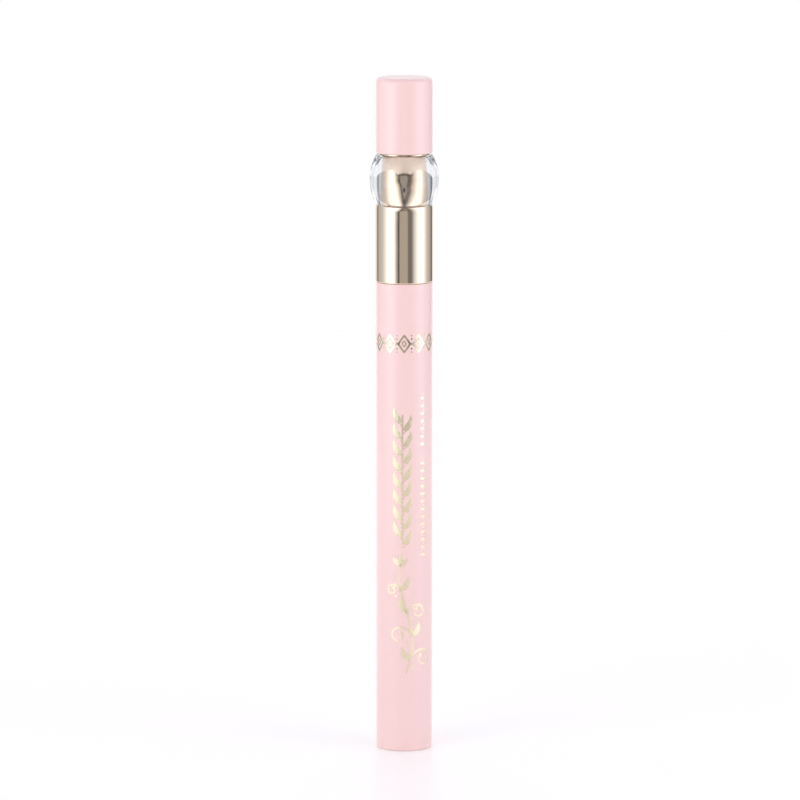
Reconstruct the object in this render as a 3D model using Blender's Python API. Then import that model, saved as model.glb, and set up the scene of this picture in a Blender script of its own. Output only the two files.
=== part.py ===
"""A slim liquid eyeliner pen, standing on its foot with its cap on.

The pen is a pink barrel that is also the ink chamber, closed by a tail plug. Its front section holds a
finned ink collector, a wick and a brush. The cap is a gold ferrule, a clear bead round a gold core, a thin
gold collar and a pink end, and inside it a sprung inner cap seals the nozzle. The middle of the foot is
the origin, and +Z is up. What goes round something takes its radius from it, from the nozzle outwards, so
the nozzle's radius and the walls round it set how thick the pen is: its barrel comes out 11.4 mm across.
"""

import math

import bmesh
import bpy
from mathutils import Vector

MM = 0.001

# Fits
PRESS_GAP = 0.05 * MM  # round pieces that are pressed or glued into each other
SLIDE_GAP = 0.10 * MM  # round pieces that slide in each other
SEAM_GAP = 0.05 * MM  # between end faces that meet
CUT_OVERRUN = 0.5 * MM  # how far every cutter runs past what it cuts

# Barrel
BARREL_LENGTH = 95.0 * MM
BARREL_WALL = 0.9 * MM  # at the seats of the plug and the front section
CHAMBER_STEP = 0.15 * MM  # how much narrower the chamber is than the seats
FOOT_ROUND = 0.6 * MM
MOUTH_ROUND = 0.12 * MM
MOUTH_DEPTH = 1.0 * MM
MOUTH_STEP = 0.3 * MM  # how much wider the mouth is than the seat

# Tail plug, and the sealing ribs that the front section has too
PLUG_LENGTH = 7.0 * MM
PLUG_FLOOR = 1.4 * MM
PLUG_WALL = 0.9 * MM
PLUG_RIM = 1.0 * MM
PLUG_RIM_ROUND = 0.15 * MM
RIB_HEIGHT = 0.15 * MM
RIB_SPAN = 5.4 * MM  # the stretch of the spigot that is ribbed
RIB_COUNT = 3
RIB_SHARE = 0.3  # of the pitch, flat on top

# Mixing ball
BALL_RADIUS = 1.6 * MM

# Front section
SPIGOT_LENGTH = 14.0 * MM
SPIGOT_WALL = 0.95 * MM
SHOULDER_LENGTH = 1.0 * MM
SHOULDER_ROUND = 0.3 * MM
SHOULDER_ROOM = 3.75 * MM  # from the shoulder up to the gold core
SHELF = 0.5 * MM  # between the collector's bore and the shoulder
NOZZLE_RADIUS = 3.1 * MM
NOZZLE_STRAIGHT = 6.0 * MM
NOZZLE_CONE = 7.5 * MM
NOZZLE_WALL = 0.75 * MM
NOZZLE_LIP = 0.35 * MM
NOZZLE_LIP_ROUND = 0.12 * MM
SNAP_HEIGHT = 0.08 * MM
SNAP_WIDTH = 0.8 * MM
SNAP_LEVEL = 3.6 * MM  # above the barrel's mouth
GROOVE_DEPTH = 0.12 * MM  # in the cap's liner, round the snap ring
VENT_RADIUS = 0.35 * MM
VENT_DROP = 2.3 * MM  # below the end of the seat

# Ink collector
FIN_COUNT = 14
FIN_THICKNESS = 0.6 * MM
COLLECTOR_WALL = 1.0 * MM  # round the wick
COLLECTOR_RECESS = 0.5 * MM
AIR_SLOT_WIDTH = 1.0 * MM
INK_SLIT_WIDTH = 0.3 * MM
SLOT_FLOOR = 0.35 * MM  # what the slots leave round the wick

# Wick, its bush, and the brush
WICK_RADIUS = 1.0 * MM
WICK_DIP = 4.0 * MM  # below the collector
WICK_ROUND = 0.3 * MM
BRUSH_RADIUS = 1.0 * MM
BRUSH_LENGTH = 9.6 * MM  # in front of the nozzle
BRUSH_POINT = 0.05 * MM
BRUSH_ROOT = 0.7 * MM
BRUSH_FLUTES = 14
BRUSH_FLUTE_SHARE = 0.14  # of the radius
BRUSH_TAPER = 0.8  # power of the taper, under 1 for a full belly
BRUSH_RINGS = 7

# Ferrule and the liner that grips the front section
FERRULE_LENGTH = 15.45 * MM
FERRULE_PROUD = 0.1 * MM  # of the barrel
FERRULE_WALL = 0.45 * MM
FERRULE_TOP = 0.6 * MM
FERRULE_LIP_ROUND = 0.42 * MM
FERRULE_TOP_ROUND = 0.25 * MM
LINER_WALL = 0.6 * MM
LINER_RECESS = 0.45 * MM
LINER_LEAD = 0.3 * MM

# Clear bead, the gold core inside it and the gold collar on top
BEAD_LENGTH = 10.0 * MM
BEAD_BULGE = 1.33 * MM
BEAD_STEP = 0.08 * MM  # how far its ends stand inside the cap end
BEAD_EDGE = 0.2 * MM
CORE_WALL = 0.55 * MM
CORE_FLANGE = 0.6 * MM
CORE_FLANGE_WIDTH = 0.6 * MM
CORE_EDGE_ROUND = 0.15 * MM
COLLAR_THICKNESS = 0.25 * MM
COLLAR_WIDTH = 0.4 * MM

# Cap end
CAP_END_ROOF = 1.4 * MM
CAP_END_CROWN_ROUND = 0.7 * MM
CAP_END_RIM_ROUND = 0.15 * MM
SPRING_BOSS = 1.0 * MM

# Inner cap and its spring
INNER_CAP_TRAVEL = 1.5 * MM
INNER_CAP_WALL = 0.6 * MM
INNER_CAP_RELIEF = 0.3 * MM  # how much wider its bore is than its seal
INNER_CAP_SEAL = 2.5 * MM
INNER_CAP_FLANGE = 0.7 * MM
INNER_CAP_DOME = 1.2 * MM
INNER_CAP_DOME_STEP = 0.55 * MM  # how much narrower the dome is than the bore
INNER_CAP_ROUND = 0.25 * MM
TIP_CLEARANCE = 0.8 * MM
SPRING_LENGTH = 5.7 * MM  # with the cap on
SPRING_WIRE = 0.4 * MM
SPRING_TURNS = 5.5
SPRING_ROOM = 0.3 * MM  # between the dome and the wire

# How finely round shapes are drawn
SHELL_SIDES = 48
INNER_SIDES = 28
FIN_SIDES = 20
ROUND_POINTS = 3
ROUND_LIMIT_SHARE = 0.45  # of the shorter side next to a rounded corner
BEAD_ARC = 10
BALL_RINGS = 8
TURN_POINTS = 10
MERGE = 0.001 * MM

# Radii of the nozzle and what goes round it, outwards to the barrel
INNER_CAP_SEAL_BORE = NOZZLE_RADIUS + PRESS_GAP
INNER_CAP_BORE = INNER_CAP_SEAL_BORE + INNER_CAP_RELIEF
INNER_CAP_RADIUS = INNER_CAP_BORE + INNER_CAP_WALL
CORE_BORE = INNER_CAP_RADIUS + SLIDE_GAP
CORE_RADIUS = CORE_BORE + CORE_WALL
CORE_HOLE = CORE_RADIUS + PRESS_GAP  # in the ferrule, bead, collar and cap end
LINER_RADIUS = CORE_RADIUS + CORE_FLANGE_WIDTH
FERRULE_BORE = LINER_RADIUS + PRESS_GAP
FERRULE_RADIUS = FERRULE_BORE + FERRULE_WALL
BARREL_RADIUS = FERRULE_RADIUS - FERRULE_PROUD
CAP_END_RADIUS = BARREL_RADIUS
BEAD_END_RADIUS = CAP_END_RADIUS - BEAD_STEP

# Radii of what they hold
LINER_BORE = LINER_RADIUS - LINER_WALL
CAP_SEAT_RADIUS = LINER_BORE - SLIDE_GAP
SEAT_BORE = BARREL_RADIUS - BARREL_WALL
CHAMBER_BORE = SEAT_BORE - CHAMBER_STEP
MOUTH_BORE = SEAT_BORE + MOUTH_STEP
RIB_RADIUS = SEAT_BORE - PRESS_GAP
RIBBED_RADIUS = RIB_RADIUS - RIB_HEIGHT
COLLECTOR_BORE = RIBBED_RADIUS - SPIGOT_WALL
INNER_CAP_DOME_RADIUS = INNER_CAP_BORE - INNER_CAP_DOME_STEP
SPRING_RADIUS = INNER_CAP_DOME_RADIUS + SPRING_ROOM + SPRING_WIRE / 2
BUSH_BORE = NOZZLE_RADIUS - NOZZLE_WALL
BUSH_RADIUS = BUSH_BORE - PRESS_GAP
WICK_BORE = WICK_RADIUS + PRESS_GAP
BRUSH_BORE = BRUSH_RADIUS + PRESS_GAP

# Heights above the foot
SEAM = BARREL_LENGTH
FERRULE_Z = SEAM + SEAM_GAP
LINER_Z = FERRULE_Z + LINER_RECESS
CORE_Z = FERRULE_Z + FERRULE_LENGTH - FERRULE_TOP - SEAM_GAP - CORE_FLANGE
BEAD_Z = FERRULE_Z + FERRULE_LENGTH + SEAM_GAP
COLLAR_Z = BEAD_Z + BEAD_LENGTH + SEAM_GAP
CAP_END_Z = COLLAR_Z + COLLAR_THICKNESS + SEAM_GAP
SHOULDER_Z = CORE_Z - SHOULDER_ROOM
SEAT_Z = SHOULDER_Z - SHOULDER_LENGTH
CONE_Z = SHOULDER_Z + NOZZLE_STRAIGHT
NOZZLE_TOP_Z = CONE_Z + NOZZLE_CONE
COLLECTOR_Z = SEAM - SPIGOT_LENGTH + COLLECTOR_RECESS
COLLECTOR_TOP_Z = SEAT_Z - SHELF - SEAM_GAP
BUSH_Z = COLLECTOR_TOP_Z + SEAM_GAP
BRUSH_Z = CONE_Z - SEAM_GAP - BRUSH_ROOT
BUSH_TOP_Z = BRUSH_Z - SEAM_GAP
WICK_Z = COLLECTOR_Z - WICK_DIP
BRUSH_TIP_Z = NOZZLE_TOP_Z + BRUSH_LENGTH
INNER_CAP_Z = SHOULDER_Z + SEAM_GAP
INNER_CAP_TOP_Z = BRUSH_TIP_Z + TIP_CLEARANCE + INNER_CAP_WALL
FLANGE_Z = INNER_CAP_TOP_Z - INNER_CAP_DOME - INNER_CAP_FLANGE
CORE_TOP_Z = FLANGE_Z - INNER_CAP_TRAVEL - SEAM_GAP
SPRING_Z = FLANGE_Z + INNER_CAP_FLANGE + SEAM_GAP
CAP_CEILING_Z = SPRING_Z + SPRING_LENGTH + SEAM_GAP
CAP_TOP_Z = CAP_CEILING_Z + CAP_END_ROOF
BALL_Z = PLUG_FLOOR + SEAM_GAP + BALL_RADIUS


def linear(channel):
    """One sRGB channel, 0 to 1, as the linear value that Blender uses."""
    if channel <= 0.04045:
        return channel / 12.92
    return ((channel + 0.055) / 1.055) ** 2.4


def material(name, colour, roughness, metallic=0.0, transmission=0.0):
    """A Principled material, made once. The colour is an sRGB hex string."""
    made = bpy.data.materials.get(name)
    if made is None:
        made = bpy.data.materials.new(name)
        made.use_nodes = True
        shader = made.node_tree.nodes["Principled BSDF"]
        channels = [linear(int(colour[i : i + 2], 16) / 255) for i in (0, 2, 4)]
        shader.inputs["Base Color"].default_value = (*channels, 1.0)
        shader.inputs["Roughness"].default_value = roughness
        shader.inputs["Metallic"].default_value = metallic
        shader.inputs["Transmission Weight"].default_value = transmission
        made.diffuse_color = (*channels, 1.0)
    return made


def pink_plastic():
    return material("pink_plastic", "F8D6D7", 0.28)


def pale_gold():
    return material("pale_gold", "E9D2B4", 0.06, metallic=1.0)


def clear_acrylic():
    return material("clear_acrylic", "F7F8FA", 0.02, transmission=1.0)


def white_plastic():
    return material("white_plastic", "EFEDE8", 0.4)


def rounded(corners):
    """The points of an outline. A corner is (radius, height), then the size of its round if it has one."""
    points = []
    for index, corner in enumerate(corners):
        here = Vector(corner[:2])
        if len(corner) == 2:
            points.append(here)
            continue
        back = Vector(corners[index - 1][:2]) - here
        on = Vector(corners[(index + 1) % len(corners)][:2]) - here
        half = back.angle(on) / 2
        limit = ROUND_LIMIT_SHARE * min(back.length, on.length) * math.tan(half)
        size = min(corner[2], limit)
        back.normalize()
        on.normalize()
        centre = here + (back + on).normalized() * size / math.sin(half)
        start = (here + back * size / math.tan(half) - centre).normalized()
        end = (here + on * size / math.tan(half) - centre).normalized()
        for step in range(ROUND_POINTS):
            points.append(centre + start.slerp(end, step / (ROUND_POINTS - 1)) * size)
    return points


def link(name, data):
    made = bpy.data.objects.new(name, data)
    bpy.context.scene.collection.objects.link(made)
    return made


def turned(name, corners, finish, sides=INNER_SIDES):
    """A turned piece. Its outline runs down the outside and up the bore, or from the axis to the axis."""
    points = rounded(corners)
    edges = [(i, i + 1) for i in range(len(points) - 1)]
    if corners[0][0] > 0:
        edges.append((len(points) - 1, 0))
    mesh = bpy.data.meshes.new(name)
    mesh.from_pydata([(point.x, 0, point.y) for point in points], edges, [])
    mesh.materials.append(finish)
    piece = link(name, mesh)
    screw = piece.modifiers.new("Lathe", "SCREW")
    screw.steps = screw.render_steps = sides
    screw.use_merge_vertices = True
    screw.merge_threshold = MERGE
    screw.use_smooth_shade = True
    return piece


def cut(piece, name, low, high):
    """Cuts a box between two corners out of a piece."""
    low, high = Vector(low), Vector(high)
    form = bmesh.new()
    bmesh.ops.create_cube(form, size=1)
    bmesh.ops.scale(form, vec=high - low, verts=form.verts)
    bmesh.ops.translate(form, vec=(low + high) / 2, verts=form.verts)
    mesh = bpy.data.meshes.new(name)
    form.to_mesh(mesh)
    form.free()
    cutter = link(name, mesh)
    cutter.hide_render = True
    cutter.display_type = "WIRE"
    cutter.parent = piece
    boolean = piece.modifiers.new(name, "BOOLEAN")
    boolean.operation = "DIFFERENCE"
    boolean.object = cutter


def sealing_ribs(low, high):
    """Outline corners, downwards, of the ribs that seal a plug in its seat between two heights."""
    pitch = (high - low) / RIB_COUNT
    flat = pitch * RIB_SHARE
    corners = []
    for index in range(RIB_COUNT):
        middle = high - pitch * (index + 0.5)
        corners += [
            (RIBBED_RADIUS, middle + flat / 2 + RIB_HEIGHT),
            (RIB_RADIUS, middle + flat / 2),
            (RIB_RADIUS, middle - flat / 2),
            (RIBBED_RADIUS, middle - flat / 2 - RIB_HEIGHT),
        ]
    return corners


def snap_ring(radius, height, level):
    """Outline corners, downwards, of the ring that holds the cap on, or of the groove round it."""
    half = SNAP_WIDTH / 2
    return [
        (radius, level + half + height),
        (radius + height, level + half),
        (radius + height, level - half),
        (radius, level - half - height),
    ]


def barrel():
    plug_stop = PLUG_LENGTH + SEAM_GAP
    spigot_stop = BARREL_LENGTH - SPIGOT_LENGTH - SEAM_GAP
    corners = [
        (BARREL_RADIUS, BARREL_LENGTH, MOUTH_ROUND),
        (BARREL_RADIUS, 0, FOOT_ROUND),
        (SEAT_BORE, 0),
        (SEAT_BORE, plug_stop),
        (CHAMBER_BORE, plug_stop),
        (CHAMBER_BORE, spigot_stop),
        (SEAT_BORE, spigot_stop),
        (SEAT_BORE, BARREL_LENGTH - MOUTH_DEPTH),
        (MOUTH_BORE, BARREL_LENGTH - MOUTH_DEPTH),
        (MOUTH_BORE, BARREL_LENGTH),
    ]
    return turned("barrel", corners, pink_plastic(), SHELL_SIDES)


def tail_plug():
    """A ribbed cup, whose floor closes the barrel's foot."""
    cup_radius = RIBBED_RADIUS - PLUG_WALL
    corners = [
        (0, PLUG_FLOOR),
        (cup_radius, PLUG_FLOOR),
        (cup_radius, PLUG_LENGTH),
        (RIBBED_RADIUS, PLUG_LENGTH),
        *sealing_ribs(PLUG_RIM, PLUG_LENGTH),
        (RIBBED_RADIUS, PLUG_RIM),
        (RIB_RADIUS, PLUG_RIM),
        (RIB_RADIUS, 0, PLUG_RIM_ROUND),
        (0, 0),
    ]
    return turned("tail_plug", corners, white_plastic())


def mixing_ball():
    form = bmesh.new()
    bmesh.ops.create_uvsphere(form, u_segments=BALL_RINGS * 2, v_segments=BALL_RINGS, radius=BALL_RADIUS)
    mesh = bpy.data.meshes.new("mixing_ball")
    form.to_mesh(mesh)
    form.free()
    mesh.shade_smooth()
    mesh.materials.append(material("polished_steel", "C9CBCD", 0.12, metallic=1.0))
    return link("mixing_ball", mesh)


def front_section():
    """Its zero is the barrel's mouth: the ribbed spigot is below it, the cap's seat and the nozzle above."""
    seat, shoulder, cone, nozzle_top = (z - SEAM for z in (SEAT_Z, SHOULDER_Z, CONE_Z, NOZZLE_TOP_Z))
    rim_radius = MOUTH_BORE - PRESS_GAP
    rim_foot = SEAM_GAP - MOUTH_DEPTH
    vent = seat - VENT_DROP
    corners = [
        (BRUSH_BORE + NOZZLE_LIP, nozzle_top, NOZZLE_LIP_ROUND),
        (NOZZLE_RADIUS, cone),
        (NOZZLE_RADIUS, shoulder),
        (CAP_SEAT_RADIUS, seat, SHOULDER_ROUND),
        *snap_ring(CAP_SEAT_RADIUS, SNAP_HEIGHT, SNAP_LEVEL),
        (CAP_SEAT_RADIUS, 0),
        (rim_radius, 0),
        (rim_radius, rim_foot),
        (RIBBED_RADIUS, rim_foot),
        *sealing_ribs(rim_foot - RIB_SPAN, rim_foot),
        (RIBBED_RADIUS, -SPIGOT_LENGTH),
        (COLLECTOR_BORE, -SPIGOT_LENGTH),
        (COLLECTOR_BORE, seat - SHELF),
        (BUSH_BORE, seat - SHELF),
        (BUSH_BORE, cone),
        (BRUSH_BORE, cone),
        (BRUSH_BORE, nozzle_top),
    ]
    piece = turned("front_section", corners, pink_plastic())
    cut(
        piece,
        "vent_cutter",
        (-VENT_RADIUS, -CAP_SEAT_RADIUS - CUT_OVERRUN, vent - VENT_RADIUS),
        (VENT_RADIUS, CUT_OVERRUN - COLLECTOR_BORE, vent + VENT_RADIUS),
    )
    return piece


def ink_collector():
    """A comb of thin fins on a tube, with an air slot down one side and an ink slit down the other."""
    length = COLLECTOR_TOP_Z - COLLECTOR_Z
    fin_radius = COLLECTOR_BORE - PRESS_GAP
    tube_radius = WICK_BORE + COLLECTOR_WALL
    pitch = (length - FIN_THICKNESS) / (FIN_COUNT - 1)
    corners = [(fin_radius, length), (fin_radius, length - FIN_THICKNESS)]
    for index in range(1, FIN_COUNT):
        top = length - index * pitch
        corners += [
            (tube_radius, top + pitch - FIN_THICKNESS),
            (tube_radius, top),
            (fin_radius, top),
            (fin_radius, top - FIN_THICKNESS),
        ]
    corners += [(WICK_BORE, 0), (WICK_BORE, length)]
    piece = turned("ink_collector", corners, white_plastic(), FIN_SIDES)
    floor = WICK_BORE + SLOT_FLOOR
    end = fin_radius + CUT_OVERRUN
    top = length - FIN_THICKNESS - pitch / 2
    half_slot = AIR_SLOT_WIDTH / 2
    half_slit = INK_SLIT_WIDTH / 2
    cut(piece, "air_slot_cutter", (floor, -half_slot, -CUT_OVERRUN), (end, half_slot, top))
    cut(piece, "ink_slit_cutter", (-end, -half_slit, -CUT_OVERRUN), (-floor, half_slit, top))
    return piece


def wick():
    length = BUSH_TOP_Z - WICK_Z
    corners = [
        (0, length),
        (WICK_RADIUS, length),
        (WICK_RADIUS, 0, WICK_ROUND),
        (0, 0),
    ]
    return turned("wick", corners, material("bonded_fibre", "D8D2C8", 0.9), FIN_SIDES)


def wick_bush():
    """The bush that centres the wick in the nozzle and stops the brush's root."""
    length = BUSH_TOP_Z - BUSH_Z
    corners = [
        (BUSH_RADIUS, length),
        (BUSH_RADIUS, 0, WICK_ROUND),
        (WICK_BORE, 0),
        (WICK_BORE, length),
    ]
    return turned("wick_bush", corners, white_plastic(), FIN_SIDES)


def bristle_ring(form, radius, height, flute_share):
    """One ring of the bristle bundle, whose points lie on crests and in flutes by turns."""
    verts = []
    for index in range(BRUSH_FLUTES * 2):
        angle = math.pi * index / BRUSH_FLUTES
        reach = radius * (1 - flute_share * (index % 2))
        verts.append(form.verts.new((reach * math.cos(angle), reach * math.sin(angle), height)))
    return verts


def brush():
    """A bundle of bristles, fused into a disc at its root and drawn to a point."""
    straight = NOZZLE_TOP_Z - BRUSH_Z
    rings = [
        (BUSH_RADIUS, 0, 0),
        (BUSH_RADIUS, BRUSH_ROOT, 0),
        (BRUSH_RADIUS, BRUSH_ROOT, 0),
        (BRUSH_RADIUS, straight, BRUSH_FLUTE_SHARE),
    ]
    for index in range(1, BRUSH_RINGS + 1):
        share = index / BRUSH_RINGS
        radius = BRUSH_POINT + (BRUSH_RADIUS - BRUSH_POINT) * (1 - share) ** BRUSH_TAPER
        rings.append((radius, straight + BRUSH_LENGTH * share, BRUSH_FLUTE_SHARE))
    form = bmesh.new()
    loops = [bristle_ring(form, *ring) for ring in rings]
    for lower, upper in zip(loops, loops[1:]):
        for a in range(len(lower)):
            b = (a + 1) % len(lower)
            form.faces.new((lower[a], lower[b], upper[b], upper[a]))
    form.faces.new(reversed(loops[0]))
    form.faces.new(loops[-1])
    mesh = bpy.data.meshes.new("brush")
    form.to_mesh(mesh)
    form.free()
    mesh.materials.append(material("black_bristle", "1B1718", 0.45))
    return link("brush", mesh)


def ferrule():
    """A plated sleeve with a rolled lip, turned in at the top to hold the core."""
    corners = [
        (FERRULE_RADIUS, FERRULE_LENGTH, FERRULE_TOP_ROUND),
        (FERRULE_RADIUS, 0, FERRULE_LIP_ROUND),
        (FERRULE_BORE, 0),
        (FERRULE_BORE, FERRULE_LENGTH - FERRULE_TOP),
        (CORE_HOLE, FERRULE_LENGTH - FERRULE_TOP),
        (CORE_HOLE, FERRULE_LENGTH),
    ]
    return turned("ferrule", corners, pale_gold(), SHELL_SIDES)


def cap_liner():
    """The sleeve that grips the front section, with a groove for the snap ring."""
    length = CORE_Z - SEAM_GAP - LINER_Z
    groove = snap_ring(LINER_BORE, GROOVE_DEPTH, SNAP_LEVEL + SEAM - LINER_Z)
    corners = [
        (LINER_RADIUS, length),
        (LINER_RADIUS, 0),
        (LINER_BORE + LINER_LEAD, 0),
        (LINER_BORE, LINER_LEAD),
        *reversed(groove),
        (LINER_BORE, length),
    ]
    return turned("cap_liner", corners, white_plastic())


def bead_core():
    """The plated tube that shows through the bead, with a flange that the ferrule holds."""
    length = CORE_TOP_Z - CORE_Z
    corners = [
        (CORE_RADIUS, length, CORE_EDGE_ROUND),
        (CORE_RADIUS, CORE_FLANGE),
        (LINER_RADIUS, CORE_FLANGE),
        (LINER_RADIUS, 0),
        (CORE_BORE, 0),
        (CORE_BORE, length),
    ]
    return turned("bead_core", corners, pale_gold(), SHELL_SIDES)


def crystal_bead():
    """A clear, barrel-shaped bead: its outside is one arc between its two chamfered ends."""
    half = BEAD_LENGTH / 2
    arc_radius = (half * half + BEAD_BULGE * BEAD_BULGE) / (2 * BEAD_BULGE)
    arc_centre = BEAD_END_RADIUS + BEAD_BULGE - arc_radius
    spread = math.asin((half - BEAD_EDGE) / arc_radius)
    corners = []
    for step in range(BEAD_ARC + 1):
        angle = spread * (1 - 2 * step / BEAD_ARC)
        corners.append((arc_centre + arc_radius * math.cos(angle), half + arc_radius * math.sin(angle)))
    corners += [
        (BEAD_END_RADIUS - BEAD_EDGE, 0),
        (CORE_HOLE, 0),
        (CORE_HOLE, BEAD_LENGTH),
        (BEAD_END_RADIUS - BEAD_EDGE, BEAD_LENGTH),
    ]
    return turned("crystal_bead", corners, clear_acrylic(), SHELL_SIDES)


def top_collar():
    corners = [
        (CORE_HOLE + COLLAR_WIDTH, COLLAR_THICKNESS),
        (CORE_HOLE + COLLAR_WIDTH, 0),
        (CORE_HOLE, 0),
        (CORE_HOLE, COLLAR_THICKNESS),
    ]
    return turned("top_collar", corners, pale_gold(), SHELL_SIDES)


def cap_end():
    """The pink end of the cap, with a boss under its roof that centres the spring."""
    length = CAP_TOP_Z - CAP_END_Z
    ceiling = CAP_CEILING_Z - CAP_END_Z
    corners = [
        (0, length),
        (CAP_END_RADIUS, length, CAP_END_CROWN_ROUND),
        (CAP_END_RADIUS, 0, CAP_END_RIM_ROUND),
        (CORE_HOLE, 0),
        (CORE_HOLE, ceiling),
        (INNER_CAP_DOME_RADIUS, ceiling),
        (INNER_CAP_DOME_RADIUS, ceiling - SPRING_BOSS),
        (0, ceiling - SPRING_BOSS),
    ]
    return turned("cap_end", corners, pink_plastic(), SHELL_SIDES)


def inner_cap():
    """A thimble over nozzle and brush. Its mouth seals on the nozzle, and a spring presses its flange."""
    top = INNER_CAP_TOP_Z - INNER_CAP_Z
    flange = FLANGE_Z - INNER_CAP_Z
    flange_radius = CORE_HOLE - SLIDE_GAP
    dome_bore = INNER_CAP_DOME_RADIUS - INNER_CAP_WALL
    corners = [
        (0, top),
        (INNER_CAP_DOME_RADIUS, top, INNER_CAP_ROUND),
        (INNER_CAP_DOME_RADIUS, flange + INNER_CAP_FLANGE),
        (flange_radius, flange + INNER_CAP_FLANGE),
        (flange_radius, flange),
        (INNER_CAP_RADIUS, flange),
        (INNER_CAP_RADIUS, 0, INNER_CAP_ROUND),
        (INNER_CAP_SEAL_BORE, 0),
        (INNER_CAP_SEAL_BORE, INNER_CAP_SEAL),
        (INNER_CAP_BORE, INNER_CAP_SEAL + INNER_CAP_RELIEF),
        (INNER_CAP_BORE, flange),
        (dome_bore, flange),
        (dome_bore, top - INNER_CAP_WALL),
        (0, top - INNER_CAP_WALL),
    ]
    return turned("inner_cap", corners, white_plastic())


def least_gap(points):
    """The least clear distance between stretches of the coil that are half a turn or more apart."""
    apart = TURN_POINTS // 2
    return min(
        (points[i] - points[j]).length - SPRING_WIRE
        for i in range(len(points))
        for j in range(i + apart, len(points))
    )


def cap_spring():
    """A coil that pushes the inner cap onto the nozzle, from its flange to the roof of the cap end."""
    count = round(SPRING_TURNS * TURN_POINTS)
    points = []
    for index in range(count + 1):
        angle = math.tau * SPRING_TURNS * index / count
        level = SPRING_WIRE / 2 + (SPRING_LENGTH - SPRING_WIRE) * index / count
        points.append(Vector((SPRING_RADIUS * math.cos(angle), SPRING_RADIUS * math.sin(angle), level)))
    print(f"cap_spring: the least gap between turns is {least_gap(points) / MM:.2f} mm")
    curve = bpy.data.curves.new("cap_spring", "CURVE")
    curve.dimensions = "3D"
    curve.bevel_depth = SPRING_WIRE / 2
    curve.bevel_resolution = 1
    curve.use_fill_caps = True
    spline = curve.splines.new("POLY")
    spline.points.add(count)
    for place, point in zip(spline.points, points):
        place.co = (*point, 1)
    curve.materials.append(material("spring_steel", "B9BBBD", 0.3, metallic=1.0))
    return link("cap_spring", curve)


def carry(body, height, pieces):
    """Hangs pieces on an empty at the given height, which is the zero of the body's joint."""
    empty = link(body, None)
    empty.empty_display_size = BARREL_RADIUS
    empty.location.z = height
    for piece, foot in pieces:
        piece.parent = empty
        piece.location.z = foot - height


def main():
    for old in list(bpy.data.objects):
        bpy.data.objects.remove(old)

    pen = [
        (barrel(), 0),
        (tail_plug(), 0),
        (front_section(), SEAM),
        (ink_collector(), COLLECTOR_Z),
        (wick(), WICK_Z),
        (wick_bush(), BUSH_Z),
        (brush(), BRUSH_Z),
    ]
    cap = [
        (ferrule(), FERRULE_Z),
        (cap_liner(), LINER_Z),
        (bead_core(), CORE_Z),
        (crystal_bead(), BEAD_Z),
        (top_collar(), COLLAR_Z),
        (cap_end(), CAP_END_Z),
        (cap_spring(), SPRING_Z),
    ]
    carry("pen_axis", 0, pen)
    carry("cap_axis", SEAM, cap)
    carry("inner_cap_axis", INNER_CAP_Z, [(inner_cap(), INNER_CAP_Z)])
    carry("ball_axis", BALL_Z, [(mixing_ball(), BALL_Z)])


main()
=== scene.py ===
"""Dresses the slim liquid eyeliner pen and lights it in a plain pale studio.

The pen stands upright on its foot with its cap on. Fine turned forms, a clear bead round a gold core, a
bundle of bristles and a coil spring stand for the plain solids, and a print of gold foil is laid on the
barrel. All but the spring ride on the same bodies.
"""

import math

import bmesh
import bpy
from mathutils import Matrix, Vector


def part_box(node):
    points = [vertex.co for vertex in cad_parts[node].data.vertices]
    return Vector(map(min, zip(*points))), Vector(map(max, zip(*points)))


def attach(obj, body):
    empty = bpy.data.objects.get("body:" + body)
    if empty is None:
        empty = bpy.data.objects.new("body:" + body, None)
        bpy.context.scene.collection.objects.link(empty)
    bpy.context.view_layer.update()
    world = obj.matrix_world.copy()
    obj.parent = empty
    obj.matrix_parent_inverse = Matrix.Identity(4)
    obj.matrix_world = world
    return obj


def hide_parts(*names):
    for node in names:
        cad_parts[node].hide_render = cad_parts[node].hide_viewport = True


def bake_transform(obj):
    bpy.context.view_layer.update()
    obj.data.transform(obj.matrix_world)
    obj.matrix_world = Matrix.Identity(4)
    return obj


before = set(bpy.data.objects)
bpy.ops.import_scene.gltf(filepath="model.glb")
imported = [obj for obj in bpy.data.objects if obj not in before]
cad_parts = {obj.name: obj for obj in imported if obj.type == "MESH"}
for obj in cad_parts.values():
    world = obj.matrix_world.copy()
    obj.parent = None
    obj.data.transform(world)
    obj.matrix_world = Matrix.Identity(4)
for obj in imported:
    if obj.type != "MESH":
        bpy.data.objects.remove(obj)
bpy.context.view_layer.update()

bl_info = {
    "name": "Liquid Eyeliner Pen",
    "version": (1, 0, 0),
    "blender": (4, 5, 0),
    "location": "3D View > Sidebar > Eyeliner",
    "description": "Makes the fine shapes and finishes of a slim capped eyeliner pen, and its studio",
    "category": "Object",
}

MM = 0.001
NOTHING = 1e-6

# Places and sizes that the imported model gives
BARREL_LOW, BARREL_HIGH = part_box("barrel")
PLUG_LOW, PLUG_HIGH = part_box("tail_plug")
BALL_LOW, BALL_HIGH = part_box("mixing_ball")
SECTION_LOW, SECTION_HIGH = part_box("front_section")
BRUSH_LOW, BRUSH_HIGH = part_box("brush")
FERRULE_LOW, FERRULE_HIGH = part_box("ferrule")
LINER_LOW, LINER_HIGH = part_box("cap_liner")
CORE_LOW, CORE_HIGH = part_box("bead_core")
BEAD_LOW, BEAD_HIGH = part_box("crystal_bead")
COLLAR_LOW, COLLAR_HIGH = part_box("top_collar")
CAP_END_LOW, CAP_END_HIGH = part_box("cap_end")
INNER_CAP_LOW, INNER_CAP_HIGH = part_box("inner_cap")
SPRING_LOW, SPRING_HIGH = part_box("cap_spring")
BARREL_RADIUS = BARREL_HIGH.x
FERRULE_RADIUS = FERRULE_HIGH.x
CAP_END_RADIUS = CAP_END_HIGH.x
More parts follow.
